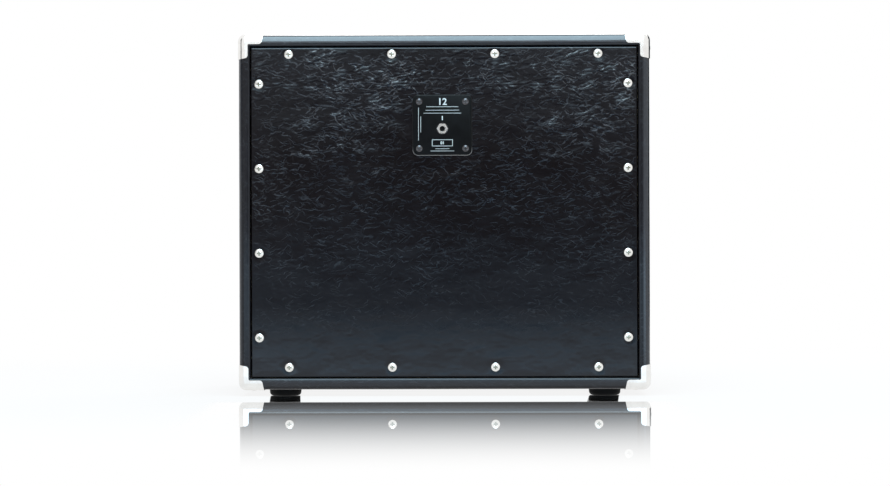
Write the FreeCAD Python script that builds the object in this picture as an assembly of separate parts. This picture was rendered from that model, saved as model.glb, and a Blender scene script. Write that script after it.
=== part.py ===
import FreeCAD, Part
import math
import os

# Guitar speaker cabinet with one 12-inch driver, in millimetres.
# Origin on the floor under the middle, +Z up, grille towards -Y, rear panel towards +Y.
# Left is -X and right is +X, as seen from the grille side.

V = FreeCAD.Vector
X_AXIS = V(1, 0, 0)
Y_AXIS = V(0, 1, 0)
Z_AXIS = V(0, 0, 1)

# Shell: four boards with box joints, sizes over the covering
cabinet_width = 515.0
cabinet_height = 445.0
cabinet_depth = 300.0
board_thickness = 13.0
edge_radius = 8.5
rim_radius = 2.7
finger_count = 13
vinyl_thickness = 0.7

# Clearances shared by all the pieces
glue_gap = 0.3
screw_clearance = 0.05
panel_gap = 0.9
grille_gap = 1.2
baffle_gap = 0.5
handle_gap = 0.5
wire_gap = 0.3

# Rear panel, its seal, its cleats and its screw pattern
panel_recess = 4.0
panel_thickness = 13.0
panel_edge_radius = 1.5
seal_thickness = 2.0
seal_width = 18.0
seal_inset = 2.0
rear_cleat_width = 25.0
rear_cleat_depth = 20.0
screw_inset = 11.0
screw_row_pitch = 129.2
screw_column_pitch = 106.0
screws_per_side = 4
screw_pattern_shift = 0.8
screw_pattern_lift = 1.5

# Baffle and grille
grille_recess = 4.0
grille_cloth_thickness = 0.6
grille_fold = 25.0
grille_frame_thickness = 12.0
grille_frame_width = 35.0
grille_screw_inset = 9.0
grille_screw_bite = 9.0
baffle_thickness = 18.0
front_cleat_size = 20.0
baffle_screw_bite = 15.0
baffle_screw_sink = 0.3

# Wood screws: head radius, head height, shank radius
panel_screw_head = 5.4
panel_screw_head_height = 3.0
panel_screw_shank = 2.0
panel_screw_bite = 16.0
small_screw_head = 4.1
small_screw_head_height = 2.0
small_screw_shank = 1.5
cap_screw_head = 3.4
cap_screw_head_height = 1.1
cap_screw_shank = 1.5
cap_screw_length = 11.5
baffle_screw_head = 4.2
baffle_screw_head_height = 2.6
baffle_screw_shank = 2.1
grille_screw_head = 3.8
grille_screw_head_height = 2.4
grille_screw_shank = 1.8

# Metal corner caps
cap_sheet = 1.0
cap_leg = 31.5
cap_lip = 11.9
cap_flap_radius = 12.0
cap_leg_slant = 2.5
cap_leg_radius = 4.0
cap_inner_radius = 2.0
cap_screw_inset = 17.0

# Rubber feet
foot_radius = 20.5
foot_height = 10.0
foot_taper = 0.6
foot_edge_radius = 4.5
foot_recess_radius = 9.0
foot_recess_depth = 5.0
foot_inset_x = 54.5
foot_inset_y = 50.0
foot_screw_head = 6.5
foot_screw_head_height = 2.6
foot_screw_shank = 2.4
foot_screw_bite = 11.0

# Recessed side handles
handle_drop = 155.0
handle_flange_length = 160.0
handle_flange_width = 100.0
handle_flange_thickness = 2.0
handle_flange_radius = 15.0
handle_opening_length = 130.0
handle_opening_width = 70.0
handle_opening_radius = 6.0
handle_depth = 45.0
handle_wall = 2.5
handle_bar_width = 24.0
handle_bar_thickness = 15.0
handle_bar_radius = 5.0
handle_screw_spacing = 100.0
handle_screw_margin = 6.0
handle_screw_head = 3.2
handle_screw_head_height = 0.9
handle_screw_shank = 1.5
handle_screw_length = 11.0

# Jack plate on the rear panel
plate_offset_x = 2.0
plate_drop = 114.0
plate_width = 74.5
plate_length = 76.0
plate_thickness = 1.5
plate_radius = 7.0
plate_screw_spacing_x = 58.0
plate_screw_spacing_z = 58.7
plate_screw_bite = 11.0
plate_hole_radius = 27.0
jack_drop = 4.4

# Quarter-inch jack socket
plug_radius = 3.25
bushing_radius = 4.7
bushing_end = 3.4
jack_washer_radius = 7.4
jack_washer_thickness = 0.8
jack_nut_flats = 12.0
jack_nut_thickness = 2.2
jack_plate_half = 8.5
jack_strip = 1.2
jack_arm_height = 7.8
jack_arm_half_width = 4.5
jack_arm_length = 14.0
wafer_thickness = 1.0
wafer_length = 9.0
leaf_thickness = 0.5
leaf_half_width = 2.5
leaf_length = 17.0
hook_depth = 4.6
hook_length = 6.0
leaf_hinge_gap = 0.3
lug_width = 4.0
lug_length = 24.0

# Driver: radii, and depths counted from the front of its flange
speaker_radius = 154.5
flange_width = 20.5
gasket_width = 10.5
gasket_thickness = 4.0
cutout_inset = 13.0
bolt_inset = 5.25
bolt_count = 8
bolt_head = 4.5
bolt_head_height = 3.2
bolt_shank = 2.45
tee_nut_flange = 9.0
tee_nut_flange_thickness = 1.2
tee_nut_barrel = 3.9
tee_nut_length = 9.0
basket_sheet = 1.5
basket_shoulder = 4.0
basket_depth = 82.0
ledge_depth = 58.0
ledge_outer_radius = 80.0
ledge_width = 10.0
basket_base_radius = 60.0
basket_bore_radius = 30.0
spoke_angle = 10.0
window_outer_margin = 7.0
window_inner_margin = 2.5
front_plate_radius = 72.0
front_plate_thickness = 8.0
magnet_radius = 78.0
magnet_bore_radius = 32.0
magnet_thickness = 20.0
back_plate_radius = 75.0
back_plate_thickness = 8.0
pole_radius = 21.0

# Moving part of the driver
coil_gap = 0.5
former_wall = 0.3
winding_wall = 0.8
winding_length = 12.0
former_length = 42.0
cone_thickness = 0.7
cone_neck_depth = 52.0
cone_flare = 3.0
surround_gap = 1.0
surround_width = 17.0
surround_thickness = 0.8
surround_rolls = 2
surround_roll_height = 1.1
spider_thickness = 0.6
spider_waves = 6
spider_wave_height = 0.9
dust_cap_radius = 38.0
dust_cap_rise = 12.0
dust_cap_thickness = 0.6

# Terminals and wiring
terminal_length = 44.0
terminal_width = 18.0
terminal_thickness = 2.0
tab_spacing = 28.0
tab_width = 6.3
tab_sheet = 0.8
tab_height = 12.0
tab_foot = 12.0
tinsel_radius = 0.9
tinsel_bend_radius = 4.0
tinsel_slack = 12.0
lead_radius = 1.3
lead_drop = 6.0
lead_rise_depth = 32.0
lead_bend_radius = 14.0
lead_sweep_radius = 45.0
clip_length = 10.0
clip_height = 10.0
clip_margin = 4.0
clip_spacing = 30.0
clip_end_gap = 4.0

# Half sizes and shared planes
half_width = cabinet_width / 2
half_depth = cabinet_depth / 2
shell_bottom = foot_height
shell_top = foot_height + cabinet_height
middle_z = (shell_bottom + shell_top) / 2
half_height = cabinet_height / 2
inner_half_width = half_width - vinyl_thickness - board_thickness
inner_half_height = half_height - vinyl_thickness - board_thickness
open_half_width = inner_half_width - vinyl_thickness
open_half_height = inner_half_height - vinyl_thickness
inner_top = middle_z + inner_half_height
handle_height = shell_top - handle_drop
plate_height = shell_top - plate_drop

panel_face = half_depth - panel_recess
panel_board_face = panel_face - vinyl_thickness
panel_back = panel_board_face - panel_thickness
rear_cleat_face = panel_back - seal_thickness
rear_cleat_front = rear_cleat_face - rear_cleat_depth
panel_half_width = open_half_width - panel_gap
panel_half_height = open_half_height - panel_gap

grille_face = -half_depth + grille_recess
frame_front = grille_face + grille_cloth_thickness
frame_back = frame_front + grille_frame_thickness
baffle_face = frame_back + grille_cloth_thickness
baffle_back = baffle_face + baffle_thickness
frame_half_width = open_half_width - grille_gap - grille_cloth_thickness
frame_half_height = open_half_height - grille_gap - grille_cloth_thickness

flange_front = baffle_back + gasket_thickness
mouth_radius = speaker_radius - flange_width
cutout_radius = speaker_radius - cutout_inset
bolt_circle = speaker_radius - bolt_inset
gasket_inner = speaker_radius - gasket_width
surround_outer = gasket_inner - surround_gap
surround_land = surround_outer - mouth_radius + surround_gap
surround_inner = surround_outer - surround_land - surround_width
surround_depth = -glue_gap - surround_thickness
cone_radius = surround_inner - glue_gap
cone_edge_depth = surround_depth
ledge_inner_radius = ledge_outer_radius - ledge_width
former_inner = pole_radius + coil_gap
former_outer = former_inner + former_wall
winding_inner = former_outer + screw_clearance
winding_outer = winding_inner + winding_wall
plate_bore_radius = winding_outer + coil_gap
plate_back_depth = basket_depth + front_plate_thickness
magnet_back_depth = plate_back_depth + magnet_thickness

plate_face = panel_face + plate_thickness
jack_x = plate_offset_x
jack_z = plate_height - jack_drop


# Plain solids


def block(x0, x1, y0, y1, z0, z1):
    return Part.makeBox(x1 - x0, y1 - y0, z1 - z0, V(x0, y0, z0))


def rod(radius, start, axis, length):
    return Part.makeCylinder(radius, length, start, axis)


def ring_block(half_x, half_z, width, y0, y1):
    outer = block(-half_x, half_x, y0, y1, middle_z - half_z, middle_z + half_z)
    hole_x = half_x - width
    hole_z = half_z - width
    return outer.cut(block(-hole_x, hole_x, y0, y1, middle_z - hole_z, middle_z + hole_z))


def edges_along(shape, axis, x=None, y=None, z=None):
    # Straight edges along one axis, kept where the given coordinates match
    found = []
    for edge in shape.Edges:
        first = edge.Vertexes[0].Point
        last = edge.Vertexes[-1].Point
        span = last - first
        if span.Length < 1e-6 or abs(abs(span.dot(axis)) - span.Length) > 1e-6:
            continue
        wanted = ((x, first.x), (y, first.y), (z, first.z))
        if all(goal is None or abs(goal - value) < 1e-6 for goal, value in wanted):
            found.append(edge)
    return found


def outline(start, *steps):
    # Closed face in the XY plane: a step is a point for a line, or two points for an arc
    here = V(start[0], start[1], 0)
    edges = []
    for step in steps + (start,):
        if isinstance(step[0], tuple):
            through = V(step[0][0], step[0][1], 0)
            there = V(step[1][0], step[1][1], 0)
            edges.append(Part.Arc(here, through, there).toShape())
        else:
            there = V(step[0], step[1], 0)
            if (there - here).Length > 1e-7:
                edges.append(Part.LineSegment(here, there).toShape())
        here = there
    return Part.Face(Part.Wire(edges))


def turned(face, angle=360.0):
    # Revolve a face drawn as (radius, depth) about the driver's axis, from the top spoke
    solid = face.revolve(V(0, 0, 0), Y_AXIS, angle)
    solid.rotate(V(0, 0, 0), Y_AXIS, -90.0)
    solid.translate(V(0, flange_front, middle_z))
    return solid


def on_axis(shape, position, axis):
    # Move a shape built along +Z so that its axis points the given way
    moved = shape.copy()
    moved.Placement = FreeCAD.Placement(position, FreeCAD.Rotation(Z_AXIS, axis))
    return moved


def mirrored(shape, flip_x=False, flip_y=False, flip_z=False):
    result = shape
    if flip_x:
        result = result.mirror(V(0, 0, 0), X_AXIS)
    if flip_y:
        result = result.mirror(V(0, 0, 0), Y_AXIS)
    if flip_z:
        result = result.mirror(V(0, 0, middle_z), Z_AXIS)
    return result


def cut_all(shape, tools):
    return shape.cut(Part.makeCompound(tools))


# Fasteners, built with the seat of the head at zero and the shank towards -Z


def cross_recess(head_radius, top, depth):
    long_half = head_radius * 0.52
    short_half = head_radius * 0.18
    arm = block(-long_half, long_half, -short_half, short_half, top - depth, top + depth)
    other_arm = block(-short_half, short_half, -long_half, long_half, top - depth, top + depth)
    return arm.fuse(other_arm)


def shank(radius, length):
    point = 2 * radius
    straight = rod(radius, V(0, 0, -length + point), Z_AXIS, length - point)
    tip = Part.makeCone(radius * 0.2, radius, point, V(0, 0, -length))
    return straight.fuse(tip)


def dome_height(radius, rise, at):
    # Height above the rim of a spherical dome, at a distance from its axis
    sphere = (radius ** 2 + rise ** 2) / (2 * rise)
    return rise - sphere + math.sqrt(sphere ** 2 - at ** 2)


def pan_screw(head_radius, head_height, shank_radius, length):
    wall = head_height * 0.45
    halfway = head_radius / 2
    shoulder = (halfway, wall + dome_height(head_radius, head_height - wall, halfway))
    face = outline((0, 0), (head_radius, 0), (head_radius, wall), (shoulder, (0, head_height)))
    face.rotate(V(0, 0, 0), X_AXIS, 90)
    head = face.revolve(V(0, 0, 0), Z_AXIS, 360)
    head = head.cut(cross_recess(head_radius, head_height, head_height * 0.55))
    return head.fuse(shank(shank_radius, length)).removeSplitter()


def sunk_screw(head_radius, head_height, shank_radius, length):
    cone = Part.makeCone(shank_radius, head_radius, head_height, V(0, 0, -head_height))
    head = cone.cut(cross_recess(head_radius, 0, head_height * 0.5))
    return head.fuse(shank(shank_radius, length)).removeSplitter()


def placed(screw, points, axis):
    return [on_axis(screw, point, axis) for point in points]


def pilot_holes(radius, points, axis, above, below):
    # Clearance holes along the given axis, reaching past the seat both ways
    size = radius + screw_clearance
    return [rod(size, point - axis * below, axis, above + below) for point in points]


# Places of the fasteners


def spread(count, pitch):
    return [(index - (count - 1) / 2) * pitch for index in range(count)]


def panel_screw_points():
    column_x = panel_half_width - screw_inset
    row_z = panel_half_height - screw_inset
    across = spread(screws_per_side, screw_row_pitch)
    upright = spread(screws_per_side, screw_column_pitch)
    flat = [(x, z) for z in (-row_z, row_z) for x in across]
    flat += [(x, z) for x in (-column_x, column_x) for z in upright]
    shifted_z = middle_z + screw_pattern_lift
    return [V(x + screw_pattern_shift, panel_face, shifted_z + z) for x, z in flat]


def plate_screw_points():
    half_x = plate_screw_spacing_x / 2
    half_z = plate_screw_spacing_z / 2
    flat = [(x, z) for x in (-half_x, half_x) for z in (-half_z, half_z)]
    return [V(plate_offset_x + x, plate_face, plate_height + z) for x, z in flat]


def baffle_screw_points():
    column_x = inner_half_width - front_cleat_size / 2
    row_z = inner_half_height - front_cleat_size / 2
    pitch = column_x / 2
    flat = [(x, z) for z in (-row_z, row_z) for x in spread(4, pitch)]
    flat += [(x, z) for x in (-column_x, column_x) for z in spread(2, row_z * 0.7)]
    return [V(x, baffle_face + baffle_screw_sink, middle_z + z) for x, z in flat]


def grille_screw_points():
    column_x = frame_half_width - grille_frame_width + grille_screw_inset
    row_z = frame_half_height - grille_frame_width + grille_screw_inset
    flat = [(x, z) for z in (-row_z, row_z) for x in spread(2, column_x * 1.6)]
    flat += [(x, 0) for x in (-column_x, column_x)]
    return [V(x, baffle_back, middle_z + z) for x, z in flat]


def bolt_points(depth_y):
    points = []
    for index in range(bolt_count):
        angle = math.radians((index + 0.5) * 360.0 / bolt_count)
        x = bolt_circle * math.sin(angle)
        z = bolt_circle * math.cos(angle)
        points.append(V(x, depth_y, middle_z + z))
    return points


def foot_points(height):
    half_x = half_width - foot_inset_x
    half_y = half_depth - foot_inset_y
    return [V(x, y, height) for y in (-half_y, half_y) for x in (-half_x, half_x)]


def handle_screw_points(side):
    reach = handle_screw_spacing / 2
    rise = handle_flange_width / 2 - handle_screw_margin
    x = side * (half_width + handle_flange_thickness)
    return [V(x, y, handle_height + z) for y in (-reach, reach) for z in (-rise, rise)]


def cap_screw_places():
    # One screw in the side flap and one in the top or bottom flap of every cap
    side_x = half_width + cap_sheet
    in_x = half_width - cap_screw_inset
    in_y = half_depth - cap_screw_inset
    up_z = half_height + cap_sheet
    in_z = half_height - cap_screw_inset
    places = []
    for x in (-1, 1):
        for y in (-1, 1):
            for z in (-1, 1):
                places.append((V(x * side_x, y * in_y, middle_z + z * in_z), X_AXIS * x))
                places.append((V(x * in_x, y * in_y, middle_z + z * up_z), Z_AXIS * z))
    return places


# Shell boards and covering


def rounded_block(inset, radius):
    x = half_width - inset
    y = half_depth - inset
    solid = block(-x, x, -y, y, shell_bottom + inset, shell_top - inset)
    return solid.makeFillet(radius, solid.Edges)


def flared_opening(half_x, half_z, depth, radius):
    # Through opening whose rims are rounded over: two crossed prisms meet in mitred corners
    bend = radius * (1 - math.sqrt(0.5))
    past = depth + radius

    def profile(half):
        wide = half + radius
        rear = (((half + bend), depth - bend), (half, depth - radius))
        front = ((half + bend, -depth + bend), (wide, -depth))
        front_back = ((-half - bend, -depth + bend), (-half, -depth + radius))
        rear_back = ((-half - bend, depth - bend), (-wide, depth))
        return outline(
            (wide, past),
            (wide, depth),
            rear,
            (half, -depth + radius),
            front,
            (wide, -past),
            (-wide, -past),
            (-wide, -depth),
            front_back,
            (-half, depth - radius),
            rear_back,
            (-wide, past),
        )

    reach = cabinet_width + cabinet_height
    across = profile(half_x).extrude(V(0, 0, reach))
    across.translate(V(0, 0, middle_z - reach / 2))
    upright = profile(half_z).extrude(V(0, 0, reach))
    upright.rotate(V(0, 0, 0), Y_AXIS, 90)
    upright.translate(V(-reach / 2, 0, middle_z))
    return across.common(upright)


def wooden_tube():
    solid = rounded_block(vinyl_thickness, edge_radius - vinyl_thickness)
    rim = rim_radius - vinyl_thickness
    return solid.cut(
        flared_opening(inner_half_width, inner_half_height, half_depth - vinyl_thickness, rim)
    )


def side_fingers():
    # Corner zones that belong to the upright boards, every second finger along the depth
    depth = half_depth - vinyl_thickness
    pitch = 2 * depth / finger_count
    fingers = []
    for index in range(1, finger_count, 2):
        y0 = -depth + index * pitch
        for x in (-1, 1):
            x0, x1 = sorted((x * inner_half_width, x * half_width))
            for z in (-1, 1):
                z0, z1 = sorted((z * inner_half_height, z * half_height))
                fingers.append(block(x0, x1, y0, y0 + pitch, middle_z + z0, middle_z + z1))
    return fingers


def handle_cutouts():
    half_y = handle_opening_length / 2 + handle_wall + handle_gap
    half_z = handle_opening_width / 2 + handle_wall + handle_gap
    radius = handle_opening_radius + handle_wall + handle_gap
    start = inner_half_width - board_thickness
    right = handle_prism(half_y, half_z, radius, start, half_width + board_thickness)
    return [right, mirrored(right, flip_x=True)]


def shell_holes():
    # Every cut that passes through the covering into the boards
    holes = handle_cutouts()
    bite = foot_screw_bite + vinyl_thickness
    holes += pilot_holes(foot_screw_shank, foot_points(shell_bottom), Z_AXIS, bite, foot_height)
    for point, axis in cap_screw_places():
        holes += pilot_holes(cap_screw_shank, [point], axis, cap_sheet, cap_screw_length)
    for side in (-1, 1):
        points = handle_screw_points(side)
        above = handle_flange_thickness
        holes += pilot_holes(handle_screw_shank, points, X_AXIS * side, above, handle_screw_length)
    return holes


def shell_boards():
    tube = cut_all(wooden_tube(), shell_holes())
    fingers = side_fingers()
    deep = (-cabinet_depth, cabinet_depth)
    low = middle_z - inner_half_height
    high = middle_z + inner_half_height
    boards = {}
    for name, x0, x1 in (
        ("left_board", -half_width, -inner_half_width),
        ("right_board", inner_half_width, half_width),
    ):
        own = [finger for finger in fingers if x0 - 1e-6 <= finger.CenterOfMass.x <= x1 + 1e-6]
        mask = block(x0, x1, *deep, low, high).multiFuse(own)
        boards[name] = tube.common(mask)
    for name, z0, z1 in (
        ("bottom_board", shell_bottom, low),
        ("top_board", high, shell_top),
    ):
        slab = block(-half_width, half_width, *deep, z0, z1)
        boards[name] = tube.common(cut_all(slab, fingers))
    return boards


def vinyl_cover():
    # Skin round the outside and both rims, tucked in as far as the cleats and the baffle
    skin = rounded_block(0, edge_radius)
    skin = skin.cut(flared_opening(open_half_width, open_half_height, half_depth, rim_radius))
    skin = skin.cut(wooden_tube())
    half_x = inner_half_width
    low = middle_z - inner_half_height
    bare = block(-half_x, half_x, baffle_face, rear_cleat_face, low, inner_top)
    return cut_all(skin.cut(bare), shell_holes())


def frame_strips(half_x, half_z, width, y0, y1):
    # Four strips glued round the inside: two full-width ones, two between them
    strips = []
    for sign in (-1, 1):
        z0, z1 = sorted((sign * half_z, sign * (half_z - width)))
        strips.append(block(-half_x, half_x, y0, y1, middle_z + z0, middle_z + z1))
    short = half_z - width
    for sign in (-1, 1):
        x0, x1 = sorted((sign * half_x, sign * (half_x - width)))
        strips.append(block(x0, x1, y0, y1, middle_z - short, middle_z + short))
    return strips


def rear_cleats():
    holes = panel_screw_holes()
    strips = frame_strips(
        inner_half_width, inner_half_height, rear_cleat_width, rear_cleat_front, rear_cleat_face
    )
    return Part.makeCompound([cut_all(strip, holes) for strip in strips])


def front_cleats():
    # In a low cabinet the driver's rim needs a notch in the strips
    notch = rod(
        speaker_radius + glue_gap, V(0, baffle_back, middle_z), Y_AXIS, front_cleat_size
    )
    tools = baffle_screw_holes() + [notch]
    back = baffle_back + front_cleat_size
    strips = frame_strips(
        inner_half_width, inner_half_height, front_cleat_size, baffle_back, back
    )
    return Part.makeCompound([cut_all(strip, tools) for strip in strips])


# Rear panel


def panel_screw_length():
    return panel_face - rear_cleat_face + panel_screw_bite


def panel_screw_holes():
    length = panel_screw_length()
    return pilot_holes(panel_screw_shank, panel_screw_points(), Y_AXIS, panel_recess, length)


def plate_screw_length():
    return plate_thickness + vinyl_thickness + plate_screw_bite


def plate_screw_holes():
    points = plate_screw_points()
    return pilot_holes(small_screw_shank, points, Y_AXIS, panel_recess, plate_screw_length())


def panel_cuts():
    center = V(plate_offset_x, 0, plate_height)
    hole = rod(plate_hole_radius, center, Y_AXIS, cabinet_depth)
    return panel_screw_holes() + plate_screw_holes() + [hole]


def panel_solid(inset):
    half_x = panel_half_width - inset
    half_z = panel_half_height - inset
    face = panel_face - inset
    solid = block(-half_x, half_x, panel_back, face, middle_z - half_z, middle_z + half_z)
    edges = edges_along(solid, X_AXIS, y=face) + edges_along(solid, Z_AXIS, y=face)
    return solid.makeFillet(panel_edge_radius + vinyl_thickness - inset, edges)


def rear_panel_board():
    return cut_all(panel_solid(vinyl_thickness), panel_cuts())


def rear_panel_vinyl():
    return cut_all(panel_solid(0).cut(panel_solid(vinyl_thickness)), panel_cuts())


def rear_panel_seal():
    half_x = panel_half_width - seal_inset
    half_z = panel_half_height - seal_inset
    ring = ring_block(half_x, half_z, seal_width, rear_cleat_face, panel_back)
    return cut_all(ring, panel_screw_holes())


def rear_panel_screws():
    screw = pan_screw(
        panel_screw_head, panel_screw_head_height, panel_screw_shank, panel_screw_length()
    )
    return Part.makeCompound(placed(screw, panel_screw_points(), Y_AXIS))


# Baffle and grille


def baffle_screw_length():
    return baffle_thickness + baffle_screw_bite - baffle_screw_sink


def baffle_screw_holes():
    points = baffle_screw_points()
    back = -Y_AXIS
    holes = pilot_holes(baffle_screw_shank, points, back, baffle_screw_sink, baffle_screw_length())
    wide = baffle_screw_head + screw_clearance
    narrow = baffle_screw_shank + screw_clearance
    sink = Part.makeCone(narrow, wide, baffle_screw_head_height, V(0, 0, -baffle_screw_head_height))
    mouth = rod(wide, V(0, 0, 0), Z_AXIS, baffle_screw_sink)
    return holes + placed(sink.fuse(mouth), points, back)


def grille_screw_length():
    return baffle_thickness + grille_cloth_thickness + grille_screw_bite


def grille_screw_holes():
    points = grille_screw_points()
    return pilot_holes(grille_screw_shank, points, Y_AXIS, gasket_thickness, grille_screw_length())


def tee_nut_holes():
    radius = tee_nut_barrel
    return pilot_holes(radius, bolt_points(baffle_face), Y_AXIS, baffle_thickness, tee_nut_length)


def baffle_board():
    half_x = inner_half_width - baffle_gap
    half_z = inner_half_height - baffle_gap
    z0 = middle_z - half_z
    board = block(-half_x, half_x, baffle_face, baffle_back, z0, middle_z + half_z)
    cutout = rod(cutout_radius, V(0, baffle_face, middle_z), Y_AXIS, baffle_thickness)
    tools = [cutout] + baffle_screw_holes() + grille_screw_holes() + tee_nut_holes()
    return cut_all(board, tools)


def baffle_screws():
    screw = sunk_screw(
        baffle_screw_head, baffle_screw_head_height, baffle_screw_shank, baffle_screw_length()
    )
    return Part.makeCompound(placed(screw, baffle_screw_points(), -Y_AXIS))


def tee_nut_room():
    # Round space kept free for the tee nuts between the cloth and the baffle
    radius = bolt_circle + tee_nut_flange + glue_gap
    return rod(radius, V(0, frame_front, middle_z), Y_AXIS, baffle_face - frame_front)


def grille_frame():
    ring = ring_block(
        frame_half_width, frame_half_height, grille_frame_width, frame_front, frame_back
    )
    return cut_all(ring, grille_screw_holes() + [tee_nut_room()])


def grille_cloth():
    # Stretched over the face and the edges of the frame and folded behind it
    half_x = frame_half_width + grille_cloth_thickness
    half_z = frame_half_height + grille_cloth_thickness
    z0 = middle_z - half_z
    whole = block(-half_x, half_x, grille_face, baffle_face, z0, middle_z + half_z)
    frame_x = frame_half_width
    frame_z = frame_half_height
    inside = block(
        -frame_x, frame_x, frame_front, frame_back, middle_z - frame_z, middle_z + frame_z
    )
    fold_x = frame_x - grille_fold
    fold_z = frame_z - grille_fold
    behind = block(
        -fold_x, fold_x, frame_back, baffle_face, middle_z - fold_z, middle_z + fold_z
    )
    tools = [inside, behind, tee_nut_room()] + grille_screw_holes()
    return cut_all(whole, tools)


def grille_screws():
    screw = pan_screw(
        grille_screw_head, grille_screw_head_height, grille_screw_shank, grille_screw_length()
    )
    return Part.makeCompound(placed(screw, grille_screw_points(), Y_AXIS))


# Corner caps


def corner_cap():
    # Rear top right cap: a sheet skin over the corner, trimmed by one outline from each side
    skin = rounded_block(-cap_sheet, edge_radius + cap_sheet).cut(rounded_block(0, edge_radius))
    x0, x1 = half_width - cap_leg, half_width + cap_sheet
    y0, y1 = half_depth - cap_leg, half_depth + cap_sheet
    z0, z1 = shell_top - cap_leg, shell_top + cap_sheet
    side = block(x0, x1, y0, y1, z0, z1)
    side = side.makeFillet(cap_flap_radius, edges_along(side, X_AXIS, y=y0, z=z0))
    upper = block(x0, x1, y0, y1, z0, z1)
    upper = upper.makeFillet(cap_flap_radius, edges_along(upper, Z_AXIS, x=x0, y=y0))
    lip_x = half_width - cap_lip
    lip_z = shell_top - cap_lip
    end_x = x0 + cap_leg_slant
    end_z = z0 + cap_leg_slant
    past_x = x1 + cap_sheet
    past_z = z1 + cap_sheet
    ell = outline(
        (past_x, z0), (past_x, past_z), (x0, past_z), (end_x, lip_z), (lip_x, lip_z), (lip_x, end_z)
    ).extrude(V(0, 0, y1 - y0))
    ell.rotate(V(0, 0, 0), X_AXIS, 90)
    ell.translate(V(0, y1, 0))
    ends = edges_along(ell, Y_AXIS, x=end_x, z=lip_z) + edges_along(ell, Y_AXIS, x=lip_x, z=end_z)
    ell = ell.makeFillet(cap_leg_radius, ends)
    ell = ell.makeFillet(cap_inner_radius, edges_along(ell, Y_AXIS, x=lip_x, z=lip_z))
    return skin.common(side).common(upper).common(ell)


def corner_caps():
    master = corner_cap()
    holes = []
    for point, axis in cap_screw_places():
        holes += pilot_holes(cap_screw_shank, [point], axis, cap_sheet, cap_screw_length)
    caps = {}
    for depth_name, flip_y in (("rear", False), ("front", True)):
        for height_name, flip_z in (("top", False), ("bottom", True)):
            for side_name, flip_x in (("right", False), ("left", True)):
                cap = mirrored(master, flip_x, flip_y, flip_z)
                name = "corner_" + depth_name + "_" + height_name + "_" + side_name
                caps[name] = cut_all(cap, holes)
    return caps


def corner_screws():
    screw = pan_screw(cap_screw_head, cap_screw_head_height, cap_screw_shank, cap_screw_length)
    return Part.makeCompound([on_axis(screw, point, axis) for point, axis in cap_screw_places()])


# Feet


def foot():
    lower = foot_radius - foot_taper
    bend = foot_edge_radius * (1 - math.sqrt(0.5))
    bore = foot_screw_shank + screw_clearance
    corner = ((lower - bend, bend), (lower, foot_edge_radius))
    face = outline(
        (foot_recess_radius, 0),
        (lower - foot_edge_radius, 0),
        corner,
        (foot_radius, foot_height),
        (bore, foot_height),
        (bore, foot_recess_depth),
        (foot_recess_radius, foot_recess_depth),
    )
    face.rotate(V(0, 0, 0), X_AXIS, 90)
    return face.revolve(V(0, 0, 0), Z_AXIS, 360)


def feet():
    names = ("foot_front_left", "foot_front_right", "foot_rear_left", "foot_rear_right")
    return {name: on_axis(foot(), point, Z_AXIS) for name, point in zip(names, foot_points(0))}


def foot_screws():
    length = foot_height - foot_recess_depth + vinyl_thickness + foot_screw_bite
    screw = pan_screw(foot_screw_head, foot_screw_head_height, foot_screw_shank, length)
    return Part.makeCompound(placed(screw, foot_points(foot_recess_depth), -Z_AXIS))


# Side handles


def handle_prism(half_y, half_z, radius, x0, x1):
    solid = block(x0, x1, -half_y, half_y, handle_height - half_z, handle_height + half_z)
    return solid.makeFillet(radius, edges_along(solid, X_AXIS))


def side_handle():
    # Right-hand handle: a dish let into the board, a flange over it and a bar across it
    face = half_width + handle_flange_thickness
    floor = half_width - handle_depth
    half_y = handle_opening_length / 2
    half_z = handle_opening_width / 2
    flange = handle_prism(
        handle_flange_length / 2, handle_flange_width / 2, handle_flange_radius, half_width, face
    )
    dish = handle_prism(
        half_y + handle_wall, half_z + handle_wall, handle_opening_radius + handle_wall, floor, face
    )
    hollow = handle_prism(half_y, half_z, handle_opening_radius, floor + handle_wall, face)
    bar_z = handle_bar_width / 2
    bar = block(
        face - handle_bar_thickness,
        face,
        -half_y - handle_wall / 2,
        half_y + handle_wall / 2,
        handle_height - bar_z,
        handle_height + bar_z,
    )
    bar = bar.makeFillet(handle_bar_radius, edges_along(bar, Y_AXIS))
    body = flange.fuse(dish).cut(hollow).fuse(bar).removeSplitter()
    points = handle_screw_points(1)
    length = handle_screw_length
    return cut_all(body, pilot_holes(handle_screw_shank, points, X_AXIS, length, length))


def handle_screws():
    screw = pan_screw(
        handle_screw_head, handle_screw_head_height, handle_screw_shank, handle_screw_length
    )
    screws = []
    for side in (-1, 1):
        screws += placed(screw, handle_screw_points(side), X_AXIS * side)
    return Part.makeCompound(screws)


# Jack plate and jack


def jack_plate():
    half_x = plate_width / 2
    half_z = plate_length / 2
    x = plate_offset_x
    plate = block(
        x - half_x, x + half_x, panel_face, plate_face, plate_height - half_z, plate_height + half_z
    )
    plate = plate.makeFillet(plate_radius, edges_along(plate, Y_AXIS))
    bore = rod(bushing_radius + screw_clearance, V(jack_x, panel_face, jack_z), Y_AXIS, plate_thickness)
    return cut_all(plate, plate_screw_holes() + [bore])


def jack_plate_screws():
    screw = pan_screw(
        small_screw_head, small_screw_head_height, small_screw_shank, plate_screw_length()
    )
    return Part.makeCompound(placed(screw, plate_screw_points(), Y_AXIS))


def jack_washer():
    disc = rod(jack_washer_radius, V(jack_x, plate_face, jack_z), Y_AXIS, jack_washer_thickness)
    bore = rod(bushing_radius + screw_clearance, V(jack_x, plate_face, jack_z), Y_AXIS, plate_thickness)
    return disc.cut(bore)


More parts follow.
